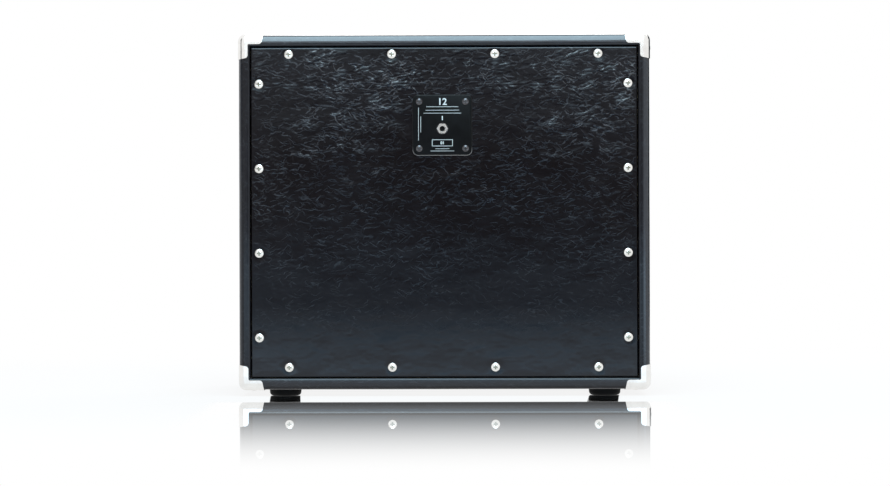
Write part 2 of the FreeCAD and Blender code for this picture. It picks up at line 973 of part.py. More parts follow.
def jack_nut():
    start = plate_face + jack_washer_thickness
    corner = jack_nut_flats / math.sqrt(3)
    points = []
    for index in range(7):
        angle = math.radians(60 * index)
        x = jack_x + corner * math.cos(angle)
        points.append(V(x, start, jack_z + corner * math.sin(angle)))
    prism = Part.Face(Part.makePolygon(points)).extrude(Y_AXIS * jack_nut_thickness)
    bevel = corner - jack_nut_flats / 2
    tall = jack_nut_thickness + bevel
    base = corner + jack_nut_thickness * 1.5
    tip = base - tall * 1.5
    chamfer = Part.makeCone(base, tip, tall, V(jack_x, start, jack_z), Y_AXIS)
    bore = rod(bushing_radius + screw_clearance, V(jack_x, start, jack_z), Y_AXIS, jack_nut_thickness)
    return prism.common(chamfer).cut(bore)


def jack_frame():
    # Sleeve contact: bushing, square flange behind the plate and an arm reaching inwards
    inner = panel_face - jack_strip
    flange = block(
        jack_x - jack_plate_half,
        jack_x + jack_plate_half,
        inner,
        panel_face,
        jack_z - jack_plate_half,
        jack_z + jack_arm_height + jack_strip,
    )
    outer_end = plate_face + bushing_end
    bushing = rod(bushing_radius, V(jack_x, inner, jack_z), Y_AXIS, outer_end - inner)
    arm = block(
        jack_x - jack_arm_half_width,
        jack_x + jack_arm_half_width,
        panel_face - jack_arm_length,
        panel_face,
        jack_z + jack_arm_height,
        jack_z + jack_arm_height + jack_strip,
    )
    lug = block(
        -tab_spacing / 2 - lug_width / 2,
        jack_x,
        panel_face - jack_arm_length,
        panel_face - jack_arm_length + lug_width,
        jack_z + jack_arm_height,
        jack_z + jack_arm_height + jack_strip,
    )
    bore = rod(plug_radius, V(jack_x, inner, jack_z), Y_AXIS, outer_end - inner)
    body = flange.fuse(bushing).fuse(arm).fuse(lug).cut(bore)
    bevel = jack_strip / 2
    bevel_start = V(jack_x, outer_end - bevel, jack_z)
    lead_in = Part.makeCone(plug_radius, plug_radius + bevel, bevel, bevel_start, Y_AXIS)
    return body.cut(lead_in).removeSplitter()


def stack_ends():
    # The clamped stack lies under the arm, right behind the square flange
    start = panel_face - jack_strip
    return start - wafer_length, start


def jack_insulators():
    rear, front = stack_ends()
    x0 = jack_x - jack_arm_half_width
    x1 = jack_x + jack_arm_half_width
    top = jack_z + jack_arm_height
    upper = block(x0, x1, rear, front, top - wafer_thickness, top)
    low = top - 2 * wafer_thickness - leaf_thickness
    lower = block(x0, x1, rear, front, low, low + wafer_thickness)
    return Part.makeCompound([upper, lower])


def jack_tip_lug():
    # Clamped root of the tip contact with its solder lug beside the arm
    rear, front = stack_ends()
    top = jack_z + jack_arm_height - wafer_thickness
    low = top - leaf_thickness
    lug_x = tab_spacing / 2
    root = block(jack_x - leaf_half_width, lug_x + lug_width / 2, rear, front, low, top)
    end = front - lug_length
    lug = block(lug_x - lug_width / 2, lug_x + lug_width / 2, end, front, low, top)
    return root.fuse(lug).removeSplitter()


def leaf_hinge():
    rear, front = stack_ends()
    y = rear - leaf_hinge_gap
    return y, jack_z + jack_arm_height - wafer_thickness


def jack_tip_spring():
    # Leaf that presses on the plug's tip: a flat run and a hooked end
    y, top = leaf_hinge()
    end = y - leaf_length
    start = end + hook_length
    low = top - leaf_thickness
    bottom = low - hook_depth
    dip = (start + end) / 2
    slope = leaf_thickness * 1.3
    face = outline(
        (y, low),
        (y, top),
        (start, top),
        (dip, bottom + slope),
        (end, top),
        (end - slope, top - slope),
        (dip, bottom),
        (start, low),
    )
    spring = face.extrude(V(0, 0, 2 * leaf_half_width))
    spring.rotate(V(0, 0, 0), V(1, 1, 1), 120)
    spring.translate(V(jack_x - leaf_half_width, 0, 0))
    return spring


# Driver, fixed part


def speaker_gasket():
    face = outline(
        (gasket_inner, -gasket_thickness),
        (speaker_radius, -gasket_thickness),
        (speaker_radius, 0),
        (gasket_inner, 0),
    )
    return cut_all(turned(face), bolt_holes())


def bolt_length():
    return basket_sheet + gasket_thickness + baffle_thickness


def bolt_seat():
    return flange_front + basket_sheet


def bolt_holes():
    return pilot_holes(bolt_shank, bolt_points(bolt_seat()), Y_AXIS, basket_sheet, bolt_length())


def basket_slope():
    # The two ends of the outer line of the spokes, as (radius, depth)
    upper = (mouth_radius + basket_sheet, basket_shoulder + basket_sheet * 0.4)
    lower = (ledge_outer_radius + basket_sheet * 0.6, ledge_depth + basket_sheet)
    return upper, lower


def speaker_basket():
    upper, lower = basket_slope()
    face = outline(
        (speaker_radius, 0),
        (mouth_radius, 0),
        (mouth_radius, basket_shoulder),
        (ledge_outer_radius, ledge_depth),
        (ledge_inner_radius, ledge_depth),
        (basket_base_radius, basket_depth - basket_sheet),
        (basket_bore_radius, basket_depth - basket_sheet),
        (basket_bore_radius, basket_depth),
        (basket_base_radius + basket_sheet, basket_depth),
        (ledge_inner_radius + basket_sheet, ledge_depth + basket_sheet),
        lower,
        upper,
        (upper[0], basket_sheet),
        (speaker_radius, basket_sheet),
    )
    whole = turned(face)
    inside = ledge_outer_radius + window_inner_margin
    outside = mouth_radius - window_outer_margin
    pane = outline(
        (inside, basket_shoulder),
        (outside, basket_shoulder),
        (outside, basket_depth),
        (inside, basket_depth),
    )
    step = 360.0 / bolt_count
    window = turned(pane, step - spoke_angle)
    center = V(0, 0, middle_z)
    window.rotate(center, Y_AXIS, spoke_angle / 2)
    windows = []
    for index in range(bolt_count):
        copy = window.copy()
        copy.rotate(center, Y_AXIS, index * step)
        windows.append(copy)
    return cut_all(whole, windows + bolt_holes())


def speaker_bolts():
    bolt = pan_screw(bolt_head, bolt_head_height, bolt_shank, bolt_length())
    return Part.makeCompound(placed(bolt, bolt_points(bolt_seat()), Y_AXIS))


def speaker_tee_nuts():
    front = V(0, 0, -tee_nut_flange_thickness)
    whole_length = tee_nut_length + tee_nut_flange_thickness
    barrel = rod(tee_nut_barrel, front, Z_AXIS, whole_length)
    flange = rod(tee_nut_flange, front, Z_AXIS, tee_nut_flange_thickness)
    bore = rod(bolt_shank + screw_clearance, front, Z_AXIS, whole_length)
    nut = barrel.fuse(flange).cut(bore)
    return Part.makeCompound(placed(nut, bolt_points(baffle_face), Y_AXIS))


def plain_ring(inner, outer, front, back):
    return turned(outline((inner, front), (outer, front), (outer, back), (inner, back)))


def back_plate_pole():
    back = magnet_back_depth + back_plate_thickness
    face = outline(
        (0, basket_depth),
        (pole_radius, basket_depth),
        (pole_radius, magnet_back_depth),
        (back_plate_radius, magnet_back_depth),
        (back_plate_radius, back),
        (0, back),
    )
    return turned(face)


# Driver, moving part


def coil_middle():
    return basket_depth + front_plate_thickness / 2


def voice_coil_winding():
    half = winding_length / 2
    return plain_ring(winding_inner, winding_outer, coil_middle() - half, coil_middle() + half)


def former_back():
    return coil_middle() + winding_length / 2 + former_wall


def voice_coil_former():
    return plain_ring(former_inner, former_outer, former_back() - former_length, former_back())


def cone_neck():
    return former_outer + glue_gap, cone_neck_depth


def cone_middle():
    neck_radius, neck_depth = cone_neck()
    radius = (cone_radius + neck_radius) / 2
    return radius, (cone_edge_depth + neck_depth) / 2 - cone_flare


def cone():
    neck = cone_neck()
    middle = cone_middle()
    edge = (cone_radius, cone_edge_depth)
    behind = cone_thickness
    back_arc = ((middle[0], middle[1] + behind), (edge[0], edge[1] + behind))
    face = outline(neck, (neck[0], neck[1] + behind), back_arc, edge, (middle, neck))
    return turned(face)


def cone_front_depth(radius):
    # Depth of the cone's front surface, on the circle through edge, middle and neck
    middle = cone_middle()
    edge = V(cone_radius, cone_edge_depth, 0)
    circle = Part.Arc(V(*cone_neck(), 0), V(*middle, 0), edge).toShape().Curve
    swing = math.sqrt(circle.Radius ** 2 - (radius - circle.Center.x) ** 2)
    side = 1 if middle[1] > circle.Center.y else -1
    return circle.Center.y + side * swing


def dust_cap():
    rim_depth = cone_front_depth(dust_cap_radius) - glue_gap
    crown = rim_depth - dust_cap_rise
    halfway = dust_cap_radius / 2
    swell = rim_depth - dome_height(dust_cap_radius, dust_cap_rise, halfway)
    skin = dust_cap_thickness
    front = ((halfway, swell - skin), (0, crown - skin))
    back = ((halfway, swell), (dust_cap_radius, rim_depth))
    face = outline((dust_cap_radius, rim_depth - skin), front, (0, crown), back)
    return turned(face)


def waved_face(inner, outer, depth, waves, height, thickness, land):
    # Corrugated ring with a flat land outside, every half wave an arc
    span = (outer - land - inner) / waves
    front = []
    back = []
    for index in range(waves):
        swing = height if index % 2 else -height
        start = inner + index * span
        middle = start + span / 2
        end = start + span
        front.append(((middle, depth + swing), (end, depth)))
        back.insert(0, ((middle, depth + swing + thickness), (start, depth + thickness)))
    rim = [(outer, depth), (outer, depth + thickness), (outer - land, depth + thickness)]
    return outline((inner, depth), *front, *rim, *back)


def surround():
    face = waved_face(
        surround_inner,
        surround_outer,
        surround_depth,
        2 * surround_rolls,
        surround_roll_height,
        surround_thickness,
        surround_land,
    )
    return turned(face)


def spider():
    depth = ledge_depth - glue_gap - spider_thickness
    inner = former_outer + glue_gap
    outer = ledge_outer_radius - glue_gap
    face = waved_face(
        inner, outer, depth, 2 * spider_waves, spider_wave_height, spider_thickness, ledge_width
    )
    return turned(face)


# Terminals and wiring


def terminal_frame():
    # Middle of the top spoke's outer face and the way it faces
    upper, lower = basket_slope()
    run = V(0, lower[1] - upper[1], lower[0] - upper[0])
    run.normalize()
    normal = V(0, -run.z, run.y)
    center = V(0, flange_front + (upper[1] + lower[1]) / 2, middle_z + (upper[0] + lower[0]) / 2)
    return center + normal * glue_gap, normal


def on_terminal(shape):
    center, normal = terminal_frame()
    return on_axis(shape, center, normal)


def terminal_board():
    half_x = terminal_length / 2
    half_y = terminal_width / 2
    return on_terminal(block(-half_x, half_x, -half_y, half_y, 0, terminal_thickness))


def tab_places():
    return (-tab_spacing / 2, tab_spacing / 2)


def tab_start():
    # Outer end of a tab's foot, which reaches the inner edge of the terminal board
    return terminal_width / 2 - tab_foot


def terminal_tabs():
    tabs = []
    half = tab_width / 2
    low = terminal_thickness
    high = low + tab_sheet
    start = tab_start()
    for x in tab_places():
        base = block(x - half, x + half, start, start + tab_foot, low, high)
        upright = block(x - half, x + half, start, start + tab_sheet, low, high + tab_height)
        tabs.append(on_terminal(base.fuse(upright).removeSplitter()))
    return Part.makeCompound(tabs)


def terminal_point(x, reach, rise):
    # Point on the terminal board: across, along the spoke towards the neck, and above it
    center, normal = terminal_frame()
    along = FreeCAD.Rotation(Z_AXIS, normal).multVec(Y_AXIS)
    return center + V(x, 0, 0) + along * reach + normal * rise


def tab_tip(x):
    rise = terminal_thickness + tab_sheet + tab_height
    return terminal_point(x, tab_start() + tab_sheet / 2, rise)


def tube(points, bends, radius):
    # Round tube along straight runs joined by tangent arcs, with its length
    edges = []
    here = points[0]
    for corner, after, bend in zip(points[1:-1], points[2:], bends):
        into = (corner - here).normalize()
        out = (after - corner).normalize()
        turn = into.getAngle(out)
        reach = bend * math.tan(turn / 2)
        first = corner - into * reach
        last = corner + out * reach
        inward = (out - into).normalize()
        apex = corner + inward * (bend / math.cos(turn / 2) - bend)
        edges.append(Part.LineSegment(here, first).toShape())
        edges.append(Part.Arc(first, apex, last).toShape())
        here = last
    edges.append(Part.LineSegment(here, points[-1]).toShape())
    path = Part.Wire(edges)
    start = (points[1] - points[0]).normalize()
    ring = Part.Wire(Part.makeCircle(radius, points[0], start))
    return path.makePipeShell([ring], True, False), path.Length


def lead(x, lug_top, lug_end):
    # From the jack's lug up to the clips under the top board, then down to the terminal tab
    tip = tab_tip(x)
    center, normal = terminal_frame()
    run_z = inner_top - lead_drop
    start = V(x, lug_end, lug_top + wire_gap + lead_radius)
    rise_y = panel_back - lead_rise_depth
    end = tip + normal * wire_gap
    slope = (run_z - end.z) / normal.z
    knee = end + normal * slope
    points = [start, V(x, rise_y, start.z), V(x, rise_y, run_z), knee, end]
    bends = [lead_bend_radius, lead_bend_radius, lead_sweep_radius]
    solid, length = tube(points, bends, lead_radius)
    plain_volume = math.pi * lead_radius ** 2 * length
    print("lead at x", x, "bend radii", bends, "volume against section", solid.Volume / plain_volume)
    return solid


def lead_red():
    rear, front = stack_ends()
    top = jack_z + jack_arm_height - wafer_thickness
    return lead(tab_spacing / 2, top, front - lug_length + lug_width)


def lead_black():
    top = jack_z + jack_arm_height + jack_strip
    return lead(-tab_spacing / 2, top, panel_face - jack_arm_length + lug_width)


def lead_clips():
    # Saddles glued under the top board, with a snap-in channel for each lead
    half_x = tab_spacing / 2 + lead_radius + wire_gap + clip_margin
    half_y = clip_length / 2
    channel = lead_radius + wire_gap
    run_z = inner_top - lead_drop
    channels = []
    for x in tab_places():
        bore = rod(channel, V(x, -half_depth, run_z), Y_AXIS, cabinet_depth)
        slot = block(x - channel, x + channel, -half_depth, half_depth, run_z - clip_height, run_z)
        channels.append(bore.fuse(slot))
    clips = []
    rear_place = panel_back - lead_rise_depth - lead_bend_radius - clip_end_gap - half_y
    for y in (rear_place - clip_spacing, rear_place):
        body = block(-half_x, half_x, y - half_y, y + half_y, inner_top - clip_height, inner_top)
        clips.append(cut_all(body, channels))
    return Part.makeCompound(clips)


def tinsel_leads():
    # From the feet of the tabs, through the windows beside the top spoke, to the back of the cone
    rise = terminal_thickness + tab_sheet + wire_gap + tinsel_radius
    cone_end = cone_radius / 2
    cone_back = cone_front_depth(cone_end - tinsel_radius) + cone_thickness + wire_gap
    bends = [tinsel_bend_radius, tinsel_bend_radius]
    wires = []
    for x in tab_places():
        start = terminal_point(x, tab_start() + tab_foot / 2, rise)
        over = terminal_point(x, tab_start() + tab_foot * 1.5, rise)
        end = V(x, flange_front + cone_back, middle_z + cone_end)
        inside = V(x, over.y, end.z + tinsel_slack)
        wire, length = tube([start, over, inside, end], bends, tinsel_radius)
        wires.append(wire)
    return Part.makeCompound(wires)


# Write every piece


def all_pieces():
    pieces = {}
    pieces.update(shell_boards())
    pieces["vinyl_cover"] = vinyl_cover()
    pieces["rear_cleats"] = rear_cleats()
    pieces["front_cleats"] = front_cleats()
    pieces["rear_panel_board"] = rear_panel_board()
    pieces["rear_panel_vinyl"] = rear_panel_vinyl()
    pieces["rear_panel_seal"] = rear_panel_seal()
    pieces["rear_panel_screws"] = rear_panel_screws()
    pieces["baffle_board"] = baffle_board()
    pieces["baffle_screws"] = baffle_screws()
    pieces["grille_frame"] = grille_frame()
    pieces["grille_cloth"] = grille_cloth()
    pieces["grille_screws"] = grille_screws()
    pieces.update(corner_caps())
    pieces["corner_screws"] = corner_screws()
    pieces.update(feet())
    pieces["foot_screws"] = foot_screws()
    pieces["side_handle_right"] = side_handle()
    pieces["side_handle_left"] = mirrored(side_handle(), flip_x=True)
    pieces["handle_screws"] = handle_screws()
    pieces["jack_plate"] = jack_plate()
    pieces["jack_plate_screws"] = jack_plate_screws()
    pieces["jack_frame"] = jack_frame()
    pieces["jack_washer"] = jack_washer()
    pieces["jack_nut"] = jack_nut()
    pieces["jack_insulators"] = jack_insulators()
    pieces["jack_tip_lug"] = jack_tip_lug()
    pieces["jack_tip_spring"] = jack_tip_spring()
    pieces["speaker_gasket"] = speaker_gasket()
    pieces["speaker_basket"] = speaker_basket()
    pieces["speaker_bolts"] = speaker_bolts()
    pieces["speaker_tee_nuts"] = speaker_tee_nuts()
    pieces["front_plate"] = plain_ring(
        plate_bore_radius, front_plate_radius, basket_depth, plate_back_depth
    )
    pieces["magnet_ring"] = plain_ring(
        magnet_bore_radius, magnet_radius, plate_back_depth, magnet_back_depth
    )
    pieces["back_plate_pole"] = back_plate_pole()
    pieces["voice_coil_former"] = voice_coil_former()
    pieces["voice_coil_winding"] = voice_coil_winding()
    pieces["cone"] = cone()
    pieces["dust_cap"] = dust_cap()
    pieces["surround"] = surround()
    pieces["spider"] = spider()
    pieces["terminal_board"] = terminal_board()
    pieces["terminal_tabs"] = terminal_tabs()
    pieces["tinsel_leads"] = tinsel_leads()
    pieces["lead_red"] = lead_red()
    pieces["lead_black"] = lead_black()
    pieces["lead_clips"] = lead_clips()
    return pieces


os.makedirs("parts", exist_ok=True)
for name, shape in all_pieces().items():
    print(name, "valid", shape.isValid(), "solids", len(shape.Solids), "volume", round(shape.Volume, 1))
    shape.exportStep("parts/" + name + ".step")
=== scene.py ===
# %% [markdown]
# # A guitar speaker cabinet, seen from behind
# The solid model gives every board, screw and wire in its true place. This lesson dresses it:
# crinkled leathercloth over the shell and the rear panel, woven cloth over the front, bright
# metal corners and screws, and a plain white studio. The first cell loads the solids and gives a
# helper that reads the box of any one of them.

# %% Load the solid model
import math
import bpy
import numpy as np
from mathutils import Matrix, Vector


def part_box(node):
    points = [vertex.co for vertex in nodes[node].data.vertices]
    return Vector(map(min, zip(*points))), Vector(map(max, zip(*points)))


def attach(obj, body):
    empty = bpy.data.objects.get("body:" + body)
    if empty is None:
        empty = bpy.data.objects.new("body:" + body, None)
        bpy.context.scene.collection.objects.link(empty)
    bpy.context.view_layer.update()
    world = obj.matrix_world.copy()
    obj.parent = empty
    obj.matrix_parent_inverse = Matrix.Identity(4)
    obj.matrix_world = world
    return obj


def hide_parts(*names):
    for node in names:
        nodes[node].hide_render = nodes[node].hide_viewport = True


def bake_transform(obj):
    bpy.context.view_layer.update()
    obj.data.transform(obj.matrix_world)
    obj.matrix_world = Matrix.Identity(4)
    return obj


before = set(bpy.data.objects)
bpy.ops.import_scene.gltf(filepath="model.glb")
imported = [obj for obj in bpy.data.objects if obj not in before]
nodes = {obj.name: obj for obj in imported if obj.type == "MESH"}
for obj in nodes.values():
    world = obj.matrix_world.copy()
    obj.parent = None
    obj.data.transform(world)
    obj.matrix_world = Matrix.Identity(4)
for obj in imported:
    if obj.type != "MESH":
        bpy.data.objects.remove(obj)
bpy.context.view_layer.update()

# %% [markdown]
# ## The camera
# The picture was taken from almost straight behind, a little below the middle of the cabinet.
# A long lens keeps the sides out of view. The place, the slight turn and the slight tilt were
# worked out from the corners of the shell, so the camera is set by numbers and not by eye.

# %% Place the camera
camera_place = (-0.0306, 3.0, 0.1934)
camera_turn = (math.radians(90), math.radians(0.162), math.radians(180.596))
bpy.ops.object.camera_add(location=camera_place, rotation=camera_turn)
camera = bpy.context.object
camera.name = "rear_view_camera"
camera.data.sensor_width = 36
camera.data.lens = 92.15
bpy.context.scene.camera = camera
bpy.context.scene.view_settings.view_transform = "Standard"
print("camera:", camera.name, "lens", round(camera.data.lens, 2))

# %% [markdown]
# ## Sums with sockets
# A finish is a material whose colour, gloss and relief come from small networks of nodes. To keep
# those networks readable, a socket is wrapped in a class that knows plus, minus and times, so a
# mask can be written as 1 - grain. One method adds any other node.

# %% Wrap a socket
class Value:
    """An output socket that Python can do sums with."""

    def __init__(self, finish, socket):
        self.finish = finish
        self.socket = socket

    def __add__(self, other):
        return self.finish.math("ADD", self, other)

    def __sub__(self, other):
        return self.finish.math("SUBTRACT", self, other)

    def __rsub__(self, other):
        return self.finish.math("SUBTRACT", other, self)

    def __mul__(self, other):
        return self.finish.math("MULTIPLY", self, other)

    __radd__ = __add__
    __rmul__ = __mul__


# %% Collect a finish
class Finish:
    """A material, its Principled shader and the nodes that feed it."""

    def __init__(self, name, constants):
        self.material = bpy.data.materials.new(name)
        self.material.use_nodes = True
        self.tree = self.material.node_tree
        self.shader = self.tree.nodes["Principled BSDF"]
        for socket, value in constants.items():
            self.shader.inputs[socket].default_value = value
        self.place = self.add("ShaderNodeTexCoord", output="Object")

    def add(self, kind, settings=None, sockets=None, output=0):
        node = self.tree.nodes.new(kind)
        for name, value in (settings or {}).items():
            setattr(node, name, value)
        for name, value in (sockets or {}).items():
            if isinstance(value, Value):
                self.tree.links.new(value.socket, node.inputs[name])
            else:
                node.inputs[name].default_value = value
        return Value(self, node.outputs[output])

    def math(self, operation, first, second=0.0):
        return self.add("ShaderNodeMath", {"operation": operation}, {0: first, 1: second})

    def split(self, vector):
        """The three parts of a place or a colour, each as a value."""
        parts = self.add("ShaderNodeSeparateXYZ", {}, {0: vector}).socket.node.outputs
        return [Value(self, part) for part in parts]

    def note(self, name, output="Fac"):
        """A number or place that the piece's mesh carries under this name."""
        return self.add("ShaderNodeAttribute", {"attribute_name": name}, {}, output)

    def feed(self, socket, value):
        self.tree.links.new(value.socket, self.shader.inputs[socket])

    def noise(self, size, detail=3.0, stretch=(1, 1, 1)):
        """Cloudy numbers from 0 to 1 whose patches are about size metres wide."""
        scale = [1 / (size * part) for part in stretch]
        spot = self.add("ShaderNodeMapping", {}, {"Vector": self.place, "Scale": scale})
        return self.add("ShaderNodeTexNoise", {}, {"Vector": spot, "Scale": 1.0, "Detail": detail})

    def mix(self, factor, first, second):
        """Blend two colours, each given as red, green and blue or as a socket."""
        first, second = (end if isinstance(end, Value) else (*end, 1) for end in (first, second))
        return self.add("ShaderNodeMix", {"data_type": "RGBA"}, {0: factor, 6: first, 7: second}, 2)

    def clip(self, value, low, high):
        """Spread the part of value between low and high over 0 to 1, with soft ends."""
        limits = {"Value": value, "From Min": low, "From Max": high}
        return self.add("ShaderNodeMapRange", {"interpolation_type": "SMOOTHSTEP"}, limits)

    def clip_straight(self, value, low, high):
        """Cut value off below low and above high."""
        return self.add("ShaderNodeClamp", {}, {"Value": value, "Min": low, "Max": high})

    def relief(self, height, depth):
        """Let a height from 0 to 1 tilt the surface, as if it were depth metres high."""
        bump = {"Height": height, "Distance": depth, "Strength": 1.0}
        self.feed("Normal", self.add("ShaderNodeBump", {}, bump))


# %% [markdown]
# ## A helper for everyday finishes
# Paint, rubber, paper and metal all vary in the same three ways: two shades that drift into each
# other, gloss that is uneven where hands and tools have been, and a fine grain that can be felt.
# One function makes all of them from real sizes in metres.

# %% Make an everyday finish
def everyday_finish(name, shades, patch, gloss, grain, depth, constants, stretch=(1, 1, 1)):
    """Two shades in patches, roughness between two limits, and a grain of some width and depth."""
    finish = Finish(name, constants)
    drift = finish.clip(finish.noise(patch, 4.0, stretch), 0.3, 0.7)
    fine = finish.noise(grain, 2.0, stretch)
    finish.shade = finish.mix(drift * 0.7 + fine * 0.3, *shades)
    finish.feed("Base Color", finish.shade)
    low, high = gloss
    finish.feed("Roughness", low + (high - low) * (drift * 0.5 + fine * 0.5))
    finish.relief(fine, depth)
    return finish


def cover(finish, *names):
    for name in names:
        nodes[name].data.materials.clear()
        nodes[name].data.materials.append(finish.material)
    print(finish.material.name, "on", len(names), "solids")


# %% [markdown]
# ## Bright metal
# The corner caps and the jack's nut are nickel-plated steel, the wood screws zinc-plated. Both
# mirror the white studio, so they read almost white, with darker lines where the sheet bends.
# Handling leaves faint smears, which show as drifting gloss.

# %% Nickel and zinc
nickel = everyday_finish(
    "nickel_plate", ((0.80, 0.79, 0.77), (0.90, 0.89, 0.87)), 0.012, (0.10, 0.22),
    0.0012, 0.000004, {"Metallic": 1.0},
)
cap_names = [name for name in nodes if name.startswith("corner_") and name != "corner_screws"]
cover(nickel, *cap_names, "jack_frame", "jack_nut")

zinc_shades = ((0.74, 0.73, 0.69), (0.90, 0.89, 0.86))
zinc = everyday_finish(
    "zinc_plate", zinc_shades, 0.004, (0.18, 0.32), 0.0005, 0.000006, {"Metallic": 1.0}
)
cover(
    zinc, "corner_screws", "baffle_screws", "grille_screws", "foot_screws", "speaker_bolts",
    "speaker_tee_nuts",
)

# %% Blackened metal
black_metal = everyday_finish(
    "blackened_steel", ((0.012, 0.012, 0.013), (0.030, 0.030, 0.032)), 0.003, (0.30, 0.45),
    0.0004, 0.000008, {"Metallic": 0.6},
)
cover(black_metal, "handle_screws")

black_nickel = everyday_finish(
    "black_nickel", ((0.06, 0.06, 0.065), (0.11, 0.11, 0.115)), 0.003, (0.16, 0.26),
    0.0004, 0.000006, {"Metallic": 1.0},
)
cover(black_nickel, "jack_plate_screws", "jack_washer")

basket_paint = everyday_finish(
    "basket_paint", ((0.020, 0.020, 0.022), (0.034, 0.034, 0.037)), 0.02, (0.40, 0.55),
    0.0009, 0.00002, {"Specular IOR Level": 0.45},
)
cover(basket_paint, "speaker_basket")

bare_steel = everyday_finish(
    "bare_steel", ((0.46, 0.46, 0.47), (0.62, 0.62, 0.62)), 0.015, (0.28, 0.42),
    0.0006, 0.000006, {"Metallic": 1.0}, (1, 0.15, 1),
)
cover(bare_steel, "front_plate", "back_plate_pole")

contact_metal = everyday_finish(
    "tinned_brass", ((0.62, 0.54, 0.36), (0.78, 0.72, 0.55)), 0.003, (0.22, 0.36),
    0.0004, 0.000005, {"Metallic": 1.0},
)
cover(contact_metal, "jack_tip_lug", "jack_tip_spring", "terminal_tabs")

copper_wire = everyday_finish(
    "enamelled_copper", ((0.48, 0.20, 0.09), (0.66, 0.31, 0.16)), 0.004, (0.22, 0.34),
    0.0004, 0.00003, {"Metallic": 0.9}, (1, 0.1, 1),
)
cover(copper_wire, "voice_coil_winding")

# %% [markdown]
# ## Rubber, plastic and resin board
# The feet are matt moulded rubber, the handle dishes and wire clips black plastic with a fine
# moulded grain. The jack's wafers and the driver's terminal board are brown resin board.

# %% Rubber, plastic and resin board
rubber = everyday_finish(
    "foot_rubber", ((0.004, 0.004, 0.0045), (0.008, 0.008, 0.0085)), 0.010, (0.55, 0.75),
    0.0008, 0.00003, {"Specular IOR Level": 0.12},
)
cover(rubber, *[name for name in nodes if name.startswith("foot_") and name != "foot_screws"])

plastic = everyday_finish(
    "moulded_plastic", ((0.010, 0.010, 0.011), (0.019, 0.019, 0.020)), 0.03, (0.42, 0.58),
    0.0007, 0.00004, {"Specular IOR Level": 0.4},
)
cover(plastic, "side_handle_left", "side_handle_right", "lead_clips")

resin_board = everyday_finish(
    "resin_board", ((0.14, 0.060, 0.020), (0.24, 0.115, 0.042)), 0.004, (0.38, 0.55),
    0.0005, 0.00001, {}, (3, 0.6, 0.6),
)
cover(resin_board, "jack_insulators", "terminal_board")

coil_tube = everyday_finish(
    "coil_tube", ((0.36, 0.17, 0.04), (0.52, 0.27, 0.07)), 0.006, (0.28, 0.40),
    0.0006, 0.00001, {},
)
cover(coil_tube, "voice_coil_former")

ferrite = everyday_finish(
    "ferrite", ((0.030, 0.030, 0.032), (0.062, 0.062, 0.066)), 0.008, (0.50, 0.70),
    0.0007, 0.00003, {},
)
cover(ferrite, "magnet_ring")

red_sleeve = everyday_finish(
    "red_wire_sleeve", ((0.38, 0.012, 0.012), (0.52, 0.022, 0.020)), 0.02, (0.30, 0.42),
    0.0006, 0.00001, {},
)
cover(red_sleeve, "lead_red")

black_sleeve = everyday_finish(
    "black_wire_sleeve", ((0.010, 0.010, 0.010), (0.022, 0.022, 0.022)), 0.02, (0.30, 0.42),
    0.0006, 0.00001, {},
)
cover(black_sleeve, "lead_black")

# %% [markdown]
# ## Paper, cork and foam
# The cone and its dust cap are pressed paper pulp, the gasket is cork board and the strip behind
# the rear panel is closed-cell foam. All of them are dull, with fibres or cells that show close up.

# %% Paper, cork and foam
pulp = everyday_finish(
    "pressed_pulp", ((0.016, 0.015, 0.014), (0.034, 0.031, 0.028)), 0.005, (0.75, 0.92),
    0.0007, 0.00012, {"Specular IOR Level": 0.2},
)
cover(pulp, "cone", "dust_cap")

cork = everyday_finish(
    "cork_board", ((0.16, 0.095, 0.045), (0.36, 0.25, 0.15)), 0.003, (0.75, 0.90),
    0.0009, 0.00010, {"Specular IOR Level": 0.2},
)
cover(cork, "speaker_gasket")

foam = everyday_finish(
    "foam_strip", ((0.018, 0.018, 0.019), (0.045, 0.045, 0.046)), 0.002, (0.80, 0.95),
    0.0007, 0.00020, {"Specular IOR Level": 0.2},
)
cover(foam, "rear_panel_seal")

# %% [markdown]
# ## Plywood
# The shell, the baffle, the cleats and the grille frame are birch plywood. Long fibres run across
# each sheet, and real plywood shows thin darker glue lines at its edges; only the fibres are drawn
# here, from noise that is stretched twenty-five times along the sheet.

# %% Plywood
def plywood_finish(name, along):
    finish = Finish(name, {"Specular IOR Level": 0.35})
    stretch = [25 if axis == along else 1 for axis in "xyz"]
    fibre = finish.noise(0.0016, 4.0, stretch)
    broad = finish.noise(0.012, 3.0, stretch)
    streak = finish.clip(fibre * 0.55 + broad * 0.45, 0.32, 0.70)
    finish.feed("Base Color", finish.mix(streak, (0.30, 0.185, 0.090), (0.52, 0.37, 0.21)))
    finish.feed("Roughness", 0.55 + streak * 0.2)
    finish.relief(fibre, 0.00008)
    return finish


cover(
    plywood_finish("plywood_across", "x"), "top_board", "bottom_board", "rear_panel_board",
    "baffle_board", "grille_frame", "rear_cleats", "front_cleats",
)
cover(plywood_finish("plywood_upright", "z"), "left_board", "right_board")

# %% [markdown]
# ## Crinkles pressed into leathercloth
# Leathercloth is vinyl on a woven back. An engraved roller presses the crinkles into it, so the
# same pattern comes round again about every 310 mm across and 430 mm down. Noise alone makes
# clouds, not creases, so here every crinkle is a short wavy line: a thin ridge with a groove under
# it. The table lists where they crowd together and which way they run, in millimetres.

